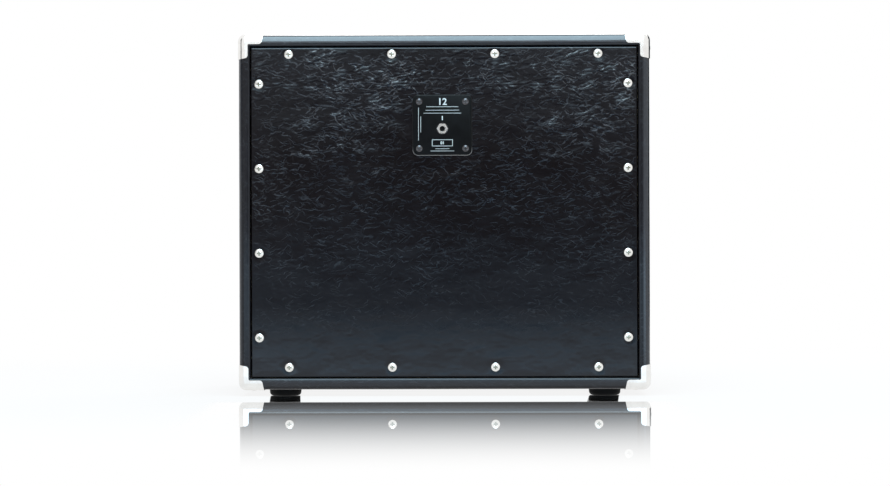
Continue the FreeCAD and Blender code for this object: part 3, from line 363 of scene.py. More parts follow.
# %% List the zones of the roller
tile_width, tile_height, cell = 309.0, 430.0, 0.5
crinkle_zones = [
    # middle, reach, count, slope and spread in degrees, lengths, heights
    ((154, 207), (154, 195), 340, 0, 16, (12, 34), (0.05, 0.24)),
    ((119, 62), (62, 36), 50, 0, 24, (8, 24), (0.20, 0.60)),
    ((88, 113), (60, 26), 30, 0, 20, (8, 26), (0.20, 0.60)),
    ((22, 155), (28, 42), 24, 52, 12, (18, 42), (0.18, 0.42)),
    ((192, 22), (36, 22), 20, 48, 12, (16, 40), (0.30, 0.65)),
    ((80, 14), (35, 10), 8, -14, 10, (28, 48), (0.30, 0.60)),
    ((130, 260), (110, 80), 90, 0, 14, (10, 26), (0.07, 0.22)),
    ((205, 262), (36, 44), 34, 58, 18, (8, 18), (0.14, 0.30)),
    ((268, 26), (48, 32), 40, 0, 24, (8, 24), (0.20, 0.55)),
    ((20, 40), (30, 40), 22, 0, 22, (8, 24), (0.16, 0.48)),
    ((190, 172), (80, 30), 36, 0, 20, (8, 26), (0.16, 0.48)),
]
smooth_patches = [((34, 75), (24, 18)), ((215, 105), (40, 28)), ((40, 215), (36, 20))]
smooth_share = 0.5
fade_end, fade_length, least_relief = 410, 200, 0.30
print("crinkles on the roller:", sum(zone[2] for zone in crinkle_zones))


# %% Draw one crinkle
# degrees that a line swings, millimetres to a wave, radians of taper left off at its ends
swings, wave_lengths, blunt_end = (8, 28), (6, 14), 0.15


def crinkle_line(rng, zone):
    """Points along a wavy line and the height of its ridge at each of them."""
    middle, reach, _, slope, spread, lengths, heights = zone
    start = np.array(middle) + np.array(reach) * rng.uniform(-1, 1, 2)
    length = rng.uniform(*lengths)
    steps = max(int(length), 5)
    along = np.linspace(0, length, steps)
    swing = np.radians(rng.uniform(*swings))
    wave = 2 * np.pi * along / rng.uniform(*wave_lengths) + rng.uniform(0, 2 * np.pi)
    heading = np.radians(slope + rng.normal(0, spread)) + swing * np.sin(wave)
    moves = np.stack([np.cos(heading), np.sin(heading)], 1) * length / steps
    taper = np.sin(np.linspace(blunt_end, np.pi - blunt_end, steps)) ** 0.7
    height = heights[0] + (heights[1] - heights[0]) * rng.uniform() ** 2
    return start + np.cumsum(moves, 0), taper * height


# %% Press it into the sheet
ridge_width, groove_width, groove_drop, groove_share = 0.76, 0.95, 1.6, 0.6
press_margin = 4


def press_line(ridges, grooves, points, heights):
    """Raise a ridge along the points and sink a groove just below it; the pattern wraps round."""
    low = np.floor((points.min(0) - press_margin) / cell).astype(int)
    high = np.ceil((points.max(0) + press_margin) / cell).astype(int)
    columns = np.arange(low[0], high[0])
    rows = np.arange(low[1], high[1])
    spots = np.stack(np.meshgrid(columns * cell, rows * cell), -1)[:, :, None]
    target = np.ix_(rows % ridges.shape[0], columns % ridges.shape[1])
    away = ((spots - points) ** 2).sum(-1)
    rise = (heights * np.exp(-away / ridge_width ** 2)).max(-1)
    ridges[target] = np.maximum(ridges[target], rise)
    away = ((spots - points - np.array([0, groove_drop])) ** 2).sum(-1)
    sink = (heights * np.exp(-away / groove_width ** 2)).max(-1) * groove_share
    grooves[target] = np.maximum(grooves[target], sink)


# %% [markdown]
# Between the crinkles the sheet is not dead flat either: the glue and the woven back leave soft
# puckers. They are random numbers blurred until only waves of the wanted width remain. The blur
# is done on the frequencies, which keeps the pattern seamless where it repeats, and it reaches
# further across than down. Where crinkles crowd together, the finer ones are livelier too.

# %% Blur a pattern
across_reach = 1.8


def blurred(pattern, width):
    down = np.fft.fftfreq(pattern.shape[0], cell)[:, None]
    across = np.fft.fftfreq(pattern.shape[1], cell) * across_reach
    keep = np.exp(-2 * (np.pi * width) ** 2 * (down ** 2 + across ** 2))
    return np.fft.ifft2(np.fft.fft2(pattern) * keep).real


# %% Add soft puckers and finish the roller
roller_seed = 7
fine_pucker, broad_pucker = (1.4, 0.02), (6.0, 0.07)
crowd_width, crowd_ridge, crowd_power = 14.0, 0.5, 1.6


def soft_puckers(rng, shape, width, height):
    waves = blurred(rng.standard_normal(shape), width)
    return height * waves / waves.std()


def engraved_roller():
    rng = np.random.default_rng(roller_seed)
    shape = (round(tile_height / cell), round(tile_width / cell))
    ridges, grooves = np.zeros(shape), np.zeros(shape)
    for zone in crinkle_zones:
        for _ in range(zone[2]):
            press_line(ridges, grooves, *crinkle_line(rng, zone))
    calm = np.ones(shape)
    down, across = np.mgrid[: shape[0], : shape[1]] * cell
    for (x, y), (wide, tall) in smooth_patches:
        near = np.exp(-(((across - x) / wide) ** 2) - ((down - y) / tall) ** 2)
        calm -= smooth_share * near
    calm *= np.clip((fade_end - down) / fade_length, least_relief, 1)
    crowd = blurred(np.minimum(ridges, crowd_ridge), crowd_width)
    crowd = (crowd / crowd.max()) ** crowd_power
    relief = (ridges - grooves) * calm
    relief += soft_puckers(rng, shape, *fine_pucker) + soft_puckers(rng, shape, *broad_pucker)
    # Each crest gets a painted highlight and the groove below it less, a painted shade; this number
    # later lightens the colour and raises the coat.
    crest_sheen = np.clip(0.03 + 0.7 * (ridges - 0.5 * grooves) * calm, 0, 1)
    return relief, crest_sheen, calm * np.clip(0.07 + 1.05 * crowd, 0, 1)


roller, painted_crest_sheen, liveliness = engraved_roller()
print("roller relief in mm:", round(roller.min(), 3), "to", round(roller.max(), 3))


# %% Read a pattern at any place
def read_pattern(pattern, across, down):
    """The pattern's value at places given in metres, worked out between its cells."""
    tall, wide = pattern.shape
    column, row = across * 1000 / cell, down * 1000 / cell
    left, top = np.floor(column).astype(int), np.floor(row).astype(int)
    part_x, part_y = column - left, row - top
    left, right = left % wide, (left + 1) % wide
    top, below = top % tall, (top + 1) % tall
    upper = pattern[top, left] * (1 - part_x) + pattern[top, right] * part_x
    lower = pattern[below, left] * (1 - part_x) + pattern[below, right] * part_x
    return upper * (1 - part_y) + lower * part_y


# %% [markdown]
# ## The look of leathercloth
# Black vinyl whose gloss has a touch of blue. Each sheet carries a number, near nought in the
# hollows and higher on the crests and round the rims; a clear coat follows it, and the colour turns
# lighter and bluer with it, a painted sheen. Between the modelled crinkles lie finer ones and pores,
# which are relief in the shader. A fine crinkle is one short wavy stroke: the sheet is divided into
# uneven patches, each patch turns its stroke its own way, and three sizes of stroke are laid over
# each other, and their crests get the painted sheen too. A second number on the sheet, lively, says
# how strongly they show.

# %% Fine crinkles
leathercloth = Finish(
    "leathercloth",
    {"Specular IOR Level": 0.09, "Specular Tint": (0.74, 0.85, 1.0, 1.0), "Coat Roughness": 0.15,
     "Coat IOR": 1.8},
)
sheet_place = leathercloth.note("sheet_place", "Vector")
bend_scale, bend_amount = 1.15, (0.5, 1.3, 0)
faintest, full_length = 0.15, 0.4


def strokes(size, stretch, start, lean, thick, reach):
    """One short wavy stroke in every patch of the sheet; sizes in metres, lean in radians."""
    scale = [1 / (size * stretch), 1 / size, 1]
    spot = {"Vector": sheet_place, "Scale": scale, "Location": (start, start, 0)}
    spot = leathercloth.add("ShaderNodeMapping", {}, spot)
    bend = {"Vector": spot, "Scale": bend_scale, "Detail": 1.0}
    bend = leathercloth.add("ShaderNodeTexNoise", {}, bend, "Color")
    spot = {0: bend, 1: bend_amount, 2: spot}
    spot = leathercloth.add("ShaderNodeVectorMath", {"operation": "MULTIPLY_ADD"}, spot)
    patch = {"Vector": spot, "Scale": 1.0}
    patch = leathercloth.add(
        "ShaderNodeTexVoronoi", {"voronoi_dimensions": "2D"}, patch, "Position"
    )
    dice = leathercloth.split(Value(leathercloth, patch.socket.node.outputs["Color"]))
    turn = (dice[0] - 0.5) * (2 * lean)
    strength = leathercloth.clip(dice[2], faintest, 1.0)
    offset = {0: spot, 1: patch}
    offset = leathercloth.add("ShaderNodeVectorMath", {"operation": "SUBTRACT"}, offset)
    right, down, _ = leathercloth.split(offset)
    right = right * stretch
    cosine, sine = leathercloth.math("COSINE", turn), leathercloth.math("SINE", turn)
    off_line = leathercloth.math("ABSOLUTE", down * cosine - right * sine)
    along_line = leathercloth.math("ABSOLUTE", right * cosine + down * sine)
    ridge = 1 - leathercloth.clip(off_line, 0.0, thick / size)
    ridge = ridge * (1 - leathercloth.clip(along_line, full_length * reach / size, reach / size))
    return ridge * strength


short = strokes(size=0.0050, stretch=1.7, start=0.0, lean=0.75, thick=0.00072, reach=0.0046)
medium = strokes(size=0.0066, stretch=1.8, start=3.7, lean=0.70, thick=0.00078, reach=0.0066)
long = strokes(size=0.0105, stretch=1.6, start=8.3, lean=0.85, thick=0.00080, reach=0.0105)
crest = leathercloth.math("MAXIMUM", leathercloth.math("MAXIMUM", short * 0.8, medium), long * 0.9)
print("nodes for the fine crinkles:", len(leathercloth.tree.nodes))

# %% Leathercloth
crest_height, pore_share, crest_sheen_gain = 0.0008, 0.04, 2.5
painted_sheen_note, lively_note = leathercloth.note("shine"), leathercloth.note("lively")
cloud = leathercloth.clip(leathercloth.noise(0.06, 4.0), 0.3, 0.7)
pore = leathercloth.noise(0.0011, 2.0)
vinyl = leathercloth.mix(cloud, (0.0056, 0.0026, 0.0022), (0.0072, 0.0040, 0.0038))
gloss_and_painted_sheen = painted_sheen_note + crest * crest_sheen_gain * lively_note
# Painted sheen: the colour turns lighter and bluer where this mask is high; the coat follows the
# same mask.
leathercloth.feed("Base Color", leathercloth.mix(gloss_and_painted_sheen, vinyl, (0.004, 0.012, 0.022)))
leathercloth.feed("Roughness", 0.18 + cloud * 0.03 + pore * 0.05)
leathercloth.feed("Coat Weight", leathercloth.clip_straight(gloss_and_painted_sheen, 0.0, 1.0))
leathercloth.relief(pore * pore_share + crest * lively_note, crest_height)
print("made", leathercloth.material.name)


# %% [markdown]
# ## Sheets that follow a plan
# Both leathercloth pieces start as a flat grid, as the real ones start as flat sheets. The helper
# adds the grid and tells which column and row each vertex stands in, and a second one moves all
# the vertices at once. Two more open a mesh for editing and close it again.

# %% Lay a grid
def laid_grid(name, columns, rows):
    bpy.ops.object.select_all(action="DESELECT")
    bpy.ops.mesh.primitive_grid_add(x_subdivisions=columns - 1, y_subdivisions=rows - 1, size=2)
    sheet = bpy.context.object
    sheet.name = name
    flat = np.empty(3 * len(sheet.data.vertices), np.float32)
    sheet.data.vertices.foreach_get("co", flat)
    flat = flat.reshape(-1, 3)
    column = np.rint((flat[:, 0] + 1) / 2 * (columns - 1)).astype(int)
    row = np.rint((flat[:, 1] + 1) / 2 * (rows - 1)).astype(int)
    return sheet, column, row


def move_vertices(sheet, places):
    sheet.data.vertices.foreach_set("co", np.asarray(places, np.float32).ravel())
    sheet.data.update()


def note_on_sheet(sheet, name, values):
    note = sheet.data.attributes.new(name, "FLOAT", "POINT")
    note.data.foreach_set("value", np.asarray(values, np.float32))


def note_place(sheet, across, down):
    places = np.stack([across, down, np.zeros(len(across))], 1).astype(np.float32)
    note = sheet.data.attributes.new("sheet_place", "FLOAT_VECTOR", "POINT")
    note.data.foreach_set("vector", places.ravel())


# %% Open, close and dress a piece
merge_distance = 0.00001


def open_mesh():
    """Edit the active piece, with all of it selected."""
    bpy.ops.object.mode_set(mode="EDIT")
    bpy.ops.mesh.select_all(action="SELECT")


def close_mesh(smooth_angle=None):
    """Stop editing; edges that turn less than smooth_angle degrees are shaded smooth."""
    bpy.ops.object.mode_set(mode="OBJECT")
    if smooth_angle:
        bpy.ops.object.shade_smooth_by_angle(angle=math.radians(smooth_angle))


def dress(piece, finish, slot, *replaced):
    piece.data.materials.clear()
    piece.data.materials.append(finish.material)
    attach(piece, "cabinet")
    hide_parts(*replaced)
    print(piece.name, "triangles:", sum(len(face.vertices) - 2 for face in piece.data.polygons))


# %% [markdown]
# ## The rear panel
# The panel is a board wrapped in leathercloth and held by sixteen screws. Its crinkles run mostly
# sideways, so the grid is fine from top to bottom and coarser across. The border gets closer
# lines, because the cloth rolls over the edge there, and each screw pulls a shallow dimple. The
# upper and lower parts carry a painted sheen, lighter and bluer than the middle and a little
# glossier.

# %% Plan the panel's grid
panel_low, panel_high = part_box("rear_panel_vinyl")
panel_face = panel_high.y
side_edge, top_edge = 0.0016, 0.0024
edge_lines = np.array([0, 0.0003, 0.0008, 0.0014, 0.0021, 0.0029, 0.0038])


def grid_lines(low, high, crowded, fine, coarse):
    """Lines across the sheet, closer together in the crowded spans and at the rolled edges."""
    inner = [low + edge_lines[-1]]
    while inner[-1] < high - edge_lines[-1] - coarse:
        close = any(start < inner[-1] < end for start, end in crowded)
        inner.append(inner[-1] + (fine if close else coarse))
    return np.concatenate([low + edge_lines[:-1], inner, (high - edge_lines[:-1])[::-1]])


crowded_x = [(panel_high.x - 0.180, panel_high.x - 0.045), (panel_low.x, panel_high.x - 0.355)]
crowded_z = [(panel_high.z - 0.140, panel_high.z - 0.022)]
panel_x = grid_lines(panel_low.x, panel_high.x, crowded_x, fine=0.00145, coarse=0.0026)[::-1]
panel_z = grid_lines(panel_low.z, panel_high.z, crowded_z, fine=0.00092, coarse=0.0014)
print("panel grid:", len(panel_x), "by", len(panel_z), "face at", panel_face, "back at", panel_low.y)

# %% Find the screws
screws_middle_x, screws_middle_z = 0.0008, 0.2340
half_step_x, half_step_z = 0.0646, 0.0530
row_off, column_off = 0.1962, 0.2312
screw_x = screws_middle_x + half_step_x * np.array([-3, -1, 1, 3])
screw_z = screws_middle_z + half_step_z * np.array([-3, -1, 1, 3])
screw_places = [(x, screws_middle_z + side * row_off) for side in (-1, 1) for x in screw_x]
screw_places += [(screws_middle_x + side * column_off, z) for side in (-1, 1) for z in screw_z]
dimple_depth, dimple_reach = 0.00045, 0.0078
print("screws round the panel:", len(screw_places))


def screw_dimples(x, z):
    near = np.full(x.shape, 1.0)
    for screw in screw_places:
        near = np.minimum(near, np.hypot(x - screw[0], z - screw[1]))
    return np.exp(-((near / dimple_reach) ** 4))


# %% [markdown]
# The cross recesses of these screws are painted dark, a painted shade. The mask folds each row of
# screws onto one screw, so a single circle marks all of them, and only what lies below the dome is
# darkened.

# %% Painted shade in the recesses
panel_zinc = everyday_finish(
    "zinc_plate_shaded_recess", zinc_shades, 0.004, (0.18, 0.32), 0.0005, 0.000006, {"Metallic": 1.0}
)
place_x, place_y, place_z = panel_zinc.split(panel_zinc.place)
row_x = panel_zinc.math("PINGPONG", place_x - screw_x[0], (screw_x[1] - screw_x[0]) / 2)
row_z = panel_zinc.math("ABSOLUTE", place_z - screws_middle_z) - row_off
column_x = panel_zinc.math("ABSOLUTE", place_x - screws_middle_x) - column_off
column_z = panel_zinc.math("PINGPONG", place_z - screw_z[0], (screw_z[1] - screw_z[0]) / 2)
in_row = row_x * row_x + row_z * row_z
in_column = column_x * column_x + column_z * column_z
near = panel_zinc.math("MINIMUM", in_row, in_column)
recess_reach, dome_edge = 0.0030, panel_face + 0.0024
# Painted shade: the recess below the dome turns dark olive.
recess_shade = 1 - panel_zinc.clip(near, 0.9 * recess_reach ** 2, recess_reach ** 2)
recess_shade = recess_shade * (1 - panel_zinc.clip(place_y, dome_edge - 0.0001, dome_edge))
panel_zinc.feed("Base Color", panel_zinc.mix(recess_shade, panel_zinc.shade, (0.26, 0.25, 0.20)))
cover(panel_zinc, "rear_panel_screws")


# %% Wrap the panel
calm_border, least_calm = 0.006, 0.25
panel, column, row = laid_grid("panel_leathercloth", len(panel_x), len(panel_z))
x, z = panel_x[column], panel_z[row]
across, down = panel_high.x - x, panel_high.z - z
inward = np.minimum(panel_high.x - np.abs(x), np.minimum(z - panel_low.z, down))
side_bend = np.clip(1 - inward / side_edge, 0, 1)
top_bend = np.clip(1 - down / top_edge, 0, 1)
side_roll = side_edge * (1 - np.sqrt(1 - side_bend ** 2))
roll = np.maximum(side_roll, top_edge * (1 - np.sqrt(1 - top_bend ** 2)))
dimple = screw_dimples(x, z)
calm = np.clip(inward / calm_border, least_calm, 1) * (1 - dimple)
lift = read_pattern(roller, across, down) / 1000 * calm
move_vertices(panel, np.stack([x, panel_face + lift - roll - dimple * dimple_depth, z], 1))
print("highest crinkle in mm:", round(lift.max() * 1000, 2))

# %% Paint the panel's sheen
low_sheen_height, low_sheen_amount = 0.09, 0.26
high_sheen_depths, high_sheen_amounts = [0, 0.03, 0.09, 0.14], [0.11, 0.09, 0.05, 0]
darker_middle_half, darker_middle_share = 0.09, 0.6
# Painted sheen on the crests, none in the screw dimples, which leaves a painted shade ring round
# each screw.
shine = read_pattern(painted_crest_sheen, across, down) * (1 - dimple)
# A painted highlight along the panel's top edge.
painted_edge_highlight = np.clip(1.3 - down / top_edge, 0, 1)
# Painted sheen along the bottom and the top, weaker in the middle of the top.
painted_low_sheen = low_sheen_amount * np.clip(1 - (z - panel_low.z) / low_sheen_height, 0, 1)
painted_high_sheen = np.interp(down, high_sheen_depths, high_sheen_amounts)
painted_high_sheen = painted_high_sheen * (1 - darker_middle_share * np.exp(-(x / darker_middle_half) ** 2))
note_on_sheet(panel, "shine", np.maximum(shine + painted_low_sheen + painted_high_sheen, painted_edge_highlight))
note_place(panel, across, down)
note_on_sheet(panel, "lively", calm * read_pattern(liveliness, across, down))
print("mean shine of the panel:", round(float((shine + painted_low_sheen + painted_high_sheen).mean()), 3))

# %% Turn its edges back and close it behind
open_mesh()
bpy.ops.mesh.region_to_loop()
bpy.ops.mesh.extrude_edges_move(TRANSFORM_OT_translate={"value": (0, 0, 0)})
bpy.ops.transform.resize(value=(1, 0, 1), center_override=(0, panel_low.y, 0))
bpy.ops.mesh.edge_face_add()
close_mesh(smooth_angle=60)
dress(panel, leathercloth, "vinyl", "rear_panel_vinyl")

# %% [markdown]
# ## The shell's covering
# One strip of leathercloth runs round the four boards and is tucked over both rims. The grid's
# columns go round the box and its rows follow the section: in from the panel's gap, over the rim,
# along the outside and over the front rim. The section is written as the inset from the outer
# face and the place along the depth, with the share of the crinkles that the stretch leaves.

# %% Plan the section
cover_low, cover_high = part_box("vinyl_cover")
outer_radius, inner_radius, rim_width = 0.0085, 0.0027, 0.0144
tuck_depths = (0.019, 0.009)
tucked_share, inner_share, rim_share, bend_share = 0.0, 0.2, 0.4, 0.3
rim = cover_high.y


def rim_section():
    inner_middle = rim_width - inner_radius
    places = [(rim_width, rim - depth, tucked_share) for depth in tuck_depths]
    for angle in np.radians([0, 20, 40, 60, 75]):
        depth = rim - inner_radius + inner_radius * math.sin(angle)
        places.append((inner_middle + inner_radius * math.cos(angle), depth, inner_share))
    for inset in np.linspace(inner_middle, outer_radius, 6)[:-1]:
        places.append((inset, rim, rim_share))
    for angle in np.radians(np.linspace(0, 90, 9)):
        depth = rim - outer_radius + outer_radius * math.cos(angle)
        places.append((outer_radius - outer_radius * math.sin(angle), depth, bend_share))
    return places


rear_section = rim_section()
flat_half = rim - outer_radius
flat_lines, slack_reach = 108, 0.012
along = np.linspace(flat_half, -flat_half, flat_lines)[1:-1]
slack = np.clip((flat_half - np.abs(along)) / slack_reach, bend_share, 1)
flat_section = [(0.0, y, share) for y, share in zip(along, slack)]
front_section = [(inset, -y, share) for inset, y, share in reversed(rear_section)]
section = np.array(rear_section + flat_section + front_section)
print("section rows:", len(section))

# %% [markdown]
# Going round, a column is either on a straight run or in one of the four rounded corners. Each
# has a place on a core rectangle and the direction in which the cloth lies off it. The crinkles
# fade out towards the corners, where the cloth is pulled tight.

# %% Plan the way round
half_wide = cover_high.x
half_tall = (cover_high.z - cover_low.z) / 2
middle_z = (cover_high.z + cover_low.z) / 2
lines_across, lines_up = 156, 134
level_run, upright_run, corner_run = 0, 1, 2


def way_round():
    """Core place, direction and kind of run, from the top's +X end towards -X and round."""
    wide = np.linspace(1, -1, lines_across)
    tall = np.linspace(1, -1, lines_up)
    turns = np.radians(np.linspace(0, 90, 7))[1:-1]
    columns = [(x, 1, 0, 1, level_run) for x in wide]
    columns += [(-1, 1, -math.sin(a), math.cos(a), corner_run) for a in turns]
    columns += [(-1, z, -1, 0, upright_run) for z in tall]
    columns += [(-1, -1, -math.cos(a), -math.sin(a), corner_run) for a in turns]
    columns += [(x, -1, 0, -1, level_run) for x in wide[::-1]]
    columns += [(1, -1, math.sin(a), -math.cos(a), corner_run) for a in turns]
    columns += [(1, z, 1, 0, upright_run) for z in tall[::-1]]
    columns += [(1, 1, math.cos(a), math.sin(a), corner_run) for a in turns]
    return np.array(columns + columns[:1])


around = way_round()
print("columns round the shell:", len(around))

# %% Wrap the shell
shell, column, row = laid_grid("shell_leathercloth", len(around), len(section))
core_x, core_z, way_x, way_z, run = around[column].T
inset, depth, share = section[row].T
spare = np.clip(outer_radius - inset, 0, None)
margin = np.maximum(outer_radius, inset)
x = core_x * (half_wide - margin) + way_x * spare
z = middle_z + core_z * (half_tall - margin) + way_z * spare
move_vertices(shell, np.stack([x, depth, z], 1))
normal = np.empty(3 * len(shell.data.vertices), np.float32)
shell.data.vertex_normals.foreach_get("vector", normal)
normal = normal.reshape(-1, 3)
print("places on the shell:", len(normal))

# %% Press the crinkles into it
softening, tight_reach = 1.6, 0.015
top_start_x, top_start_y, side_start_z = 0.13, 0.21, 0.05
steps = np.hypot(*np.diff(section[:, :2], axis=0).T)
unrolled = np.concatenate([[0], np.cumsum(steps)])[row]
on_side = run == upright_run
across = np.where(on_side, unrolled, x + top_start_x)
down = np.where(on_side, z + side_start_z, unrolled + top_start_y)
from_corner = np.where(on_side, half_tall - np.abs(z - middle_z), half_wide - np.abs(x))
loose = np.clip((from_corner - outer_radius) / tight_reach, 0, 1)
loose = np.where(run == corner_run, 0, loose)
lift = read_pattern(blurred(roller, softening), across, down) / 1000 * share * loose
move_vertices(shell, np.stack([x, depth, z], 1) + normal * lift[:, None])
print("highest crinkle in mm:", round(lift.max() * 1000, 2))

# %% [markdown]
# Each rim gets its own painted highlight: lighter, bluer colour and more coat. The lists give its
# strength at a few insets from the outer face: the top's bright line, the ends' thin ones and the
# soft band along the bottom.

# %% Paint the highlights on its rims
rim_reach, shell_lively = 0.006, 0.27
# The crests' painted sheen, softened like the shell's crinkles.
shine = read_pattern(blurred(painted_crest_sheen, softening), across, down)
painted_rim_highlight = np.clip((np.abs(depth) - flat_half) / rim_reach + 1, 0, 1)
top_highlight = np.interp(inset, [0, 0.0100, 0.0116, 0.0130], [0.9, 0.85, 0.2, 0.4])
right_highlight = np.interp(inset, [0, 0.0022, 0.0050, 0.0115, 0.0130], [0.80, 0.60, 0.17, 0.16, 0.25])
left_highlight = np.interp(inset, [0, 0.0070, 0.0095, 0.0130], [0.62, 0.6, 0.12, 0.2])
side_highlight = np.where(x > 0, right_highlight, left_highlight)
bottom_highlight = np.interp(inset, [0, 0.0030, 0.0050, 0.0115, 0.0130], [0.05, 0.2, 0.45, 0.45, 0.3])
side_or_bottom = np.where(way_z < -0.5, bottom_highlight, side_highlight)
painted_rim_highlight = painted_rim_highlight * np.where(way_z > 0.5, top_highlight, side_or_bottom)
note_on_sheet(shell, "shine", np.maximum(shine, painted_rim_highlight))
note_place(shell, across, down)
note_on_sheet(shell, "lively", shell_lively * share * loose)
print("mean shine of the rims:", round(float(painted_rim_highlight[painted_rim_highlight > 0].mean()), 3))

# %% [markdown]
# The strip's two ends meet on a top corner and are merged, and the handle openings are cut. The
# handle's flange hides the cut edge, so whole faces are deleted.

# %% Close the strip and cut the handle openings
open_mesh()
bpy.ops.mesh.remove_doubles(threshold=merge_distance)
bpy.ops.mesh.select_all(action="DESELECT")
close_mesh()
handle_low, handle_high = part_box("side_handle_right")
handle_rim = 0.008
for face in shell.data.polygons:
    spot = face.center
    within_y = handle_low.y + handle_rim < spot.y < handle_high.y - handle_rim
    within_z = handle_low.z + handle_rim < spot.z < handle_high.z - handle_rim
    face.select = within_y and within_z and abs(spot.x) > half_wide - outer_radius
bpy.ops.object.mode_set(mode="EDIT")
bpy.ops.mesh.delete(type="FACE")
close_mesh(smooth_angle=50)
dress(shell, leathercloth, "vinyl", "vinyl_cover")

# %% [markdown]
# ## The grille cloth
# The front is black woven cloth, pulled tight over a frame and folded round behind it. It is
# modelled as it is made: a flat face whose border is extruded back along the frame's edge and then
# drawn in behind it. A small bevel rounds the pull over the frame. The threads are relief in the
# shader: two sets of ribs that take turns at passing over each other.

# %% Woven cloth
weave_pitch = 0.0021
woven = Finish("woven_grille_cloth", {"Specular IOR Level": 0.25, "Sheen Weight": 0.15})
place_x, _, place_z = woven.split(woven.place)
warp_wave = woven.math("SINE", place_x * (math.pi / weave_pitch))
weft_wave = woven.math("SINE", place_z * (math.pi / weave_pitch))
over = woven.clip(warp_wave * weft_wave, -0.25, 0.25)
warp_rib = warp_wave * warp_wave
weft_rib = weft_wave * weft_wave
thread = weft_rib * over + warp_rib * (1 - over)
fuzz = woven.noise(0.0006, 2.0)
patch = woven.noise(0.04, 3.0)
tone = thread * 0.6 + fuzz * 0.25 + patch * 0.15
woven.feed("Base Color", woven.mix(tone, (0.004, 0.004, 0.0045), (0.030, 0.030, 0.032)))
woven.feed("Roughness", 0.72 + fuzz * 0.2)
woven.relief(thread * 0.85 + fuzz * 0.15, 0.00035)
print("threads every", weave_pitch * 1000, "mm")

# %% Stretch it over the frame
cloth_low, cloth_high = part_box("grille_cloth")
cloth_fold, cloth_columns, cloth_rows = 0.025, 48, 42
ripple_height, ripple_turn_x, ripple_turn_z, ripple_start = 0.00008, 61, 53, 1.3
cloth, column, row = laid_grid("grille_cloth_sheet", cloth_columns, cloth_rows)
x = cloth_low.x + (cloth_high.x - cloth_low.x) * column / (cloth_columns - 1)
z = cloth_low.z + (cloth_high.z - cloth_low.z) * row / (cloth_rows - 1)
ripple = ripple_height * np.sin(x * ripple_turn_x + ripple_start) * np.sin(z * ripple_turn_z)
move_vertices(cloth, np.stack([x, cloth_low.y + np.abs(ripple), z], 1))
open_mesh()
bpy.ops.mesh.region_to_loop()
back = cloth_high.y - cloth_low.y
bpy.ops.mesh.extrude_edges_move(TRANSFORM_OT_translate={"value": (0, back, 0)})
bpy.ops.mesh.extrude_edges_move(TRANSFORM_OT_translate={"value": (0, 0, 0)})
cloth_size = cloth_high - cloth_low
shrink = (1 - 2 * cloth_fold / cloth_size.x, 1, 1 - 2 * cloth_fold / cloth_size.z)
centre = (cloth_low + cloth_high) / 2
bpy.ops.transform.resize(value=shrink, center_override=(centre.x, cloth_high.y, centre.z))
close_mesh()
print("cloth folded in by", cloth_fold, "m")

bevel = cloth.modifiers.new("pulled_edge", "BEVEL")
bevel.width, bevel.segments, bevel.angle_limit = 0.0012, 3, math.radians(60)
bpy.ops.object.modifier_apply(modifier=bevel.name)
bpy.ops.object.shade_smooth_by_angle(angle=math.radians(40))
dress(cloth, woven, "cloth", "grille_cloth")

# %% [markdown]
# ## The jack plate
# A thin black plate covers the jack's cut-out. Its rounded corners and its edge catch the light. The
# edge is worn metal, lighter than the paint and partly a painted highlight, and along the bottom it
# is painted much lighter, a painted highlight. A plane is scaled to size, its corners are bevelled
# as points, the face is extruded to the sheet's thickness and its rim is bevelled once more.

# %% Plate finish
plate_paint = everyday_finish(
    "plate_paint", ((0.002, 0.002, 0.0023), (0.0035, 0.0035, 0.004)), 0.012, (0.26, 0.38),
    0.0005, 0.000008, {"Specular IOR Level": 0.08},
)
# The bevel's worn metal is lighter than the paint: partly wear, partly a painted highlight.
plate_edge = everyday_finish(
    "plate_edge_wear_and_highlight", ((0.03, 0.03, 0.03), (0.07, 0.07, 0.07)), 0.006, (0.25, 0.40),
    0.0006, 0.00001, {"Metallic": 0.9},
)
plate_low, plate_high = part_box("jack_plate")
# Towards the bottom the edge is painted much lighter: a painted highlight.
highlight_full_height, highlight_fade_height = 0.003, 0.012
_, _, place_z = plate_edge.split(plate_edge.place)
painted_bottom_highlight = 1 - plate_edge.clip(place_z, plate_low.z + highlight_full_height, plate_low.z + highlight_fade_height)
plate_edge.feed("Base Color", plate_edge.mix(painted_bottom_highlight, plate_edge.shade, (0.70, 0.70, 0.70)))
print("edge worn bare up to", round(plate_low.z + highlight_full_height, 4))


# %% Lay a plane
def flat_plane(name, size, place, turn=(0, 0, 0)):
    """A flat face of this size, with its place and turn in its mesh."""
    bpy.ops.object.select_all(action="DESELECT")
    bpy.ops.mesh.primitive_plane_add(size=1, location=place, rotation=turn)
    piece = bpy.context.object
    piece.name = name
    piece.scale = (*size, 1)
    bpy.ops.object.transform_apply(location=True, rotation=True, scale=True)
    return piece


def rear_plane(name, low, high, depth):
    """A flat face towards the rear, between two corners given as x and z."""
    middle = ((low[0] + high[0]) / 2, depth, (low[1] + high[1]) / 2)
    size = (high[0] - low[0], high[1] - low[1])
    return flat_plane(name, size, middle, (-math.pi / 2, 0, 0))


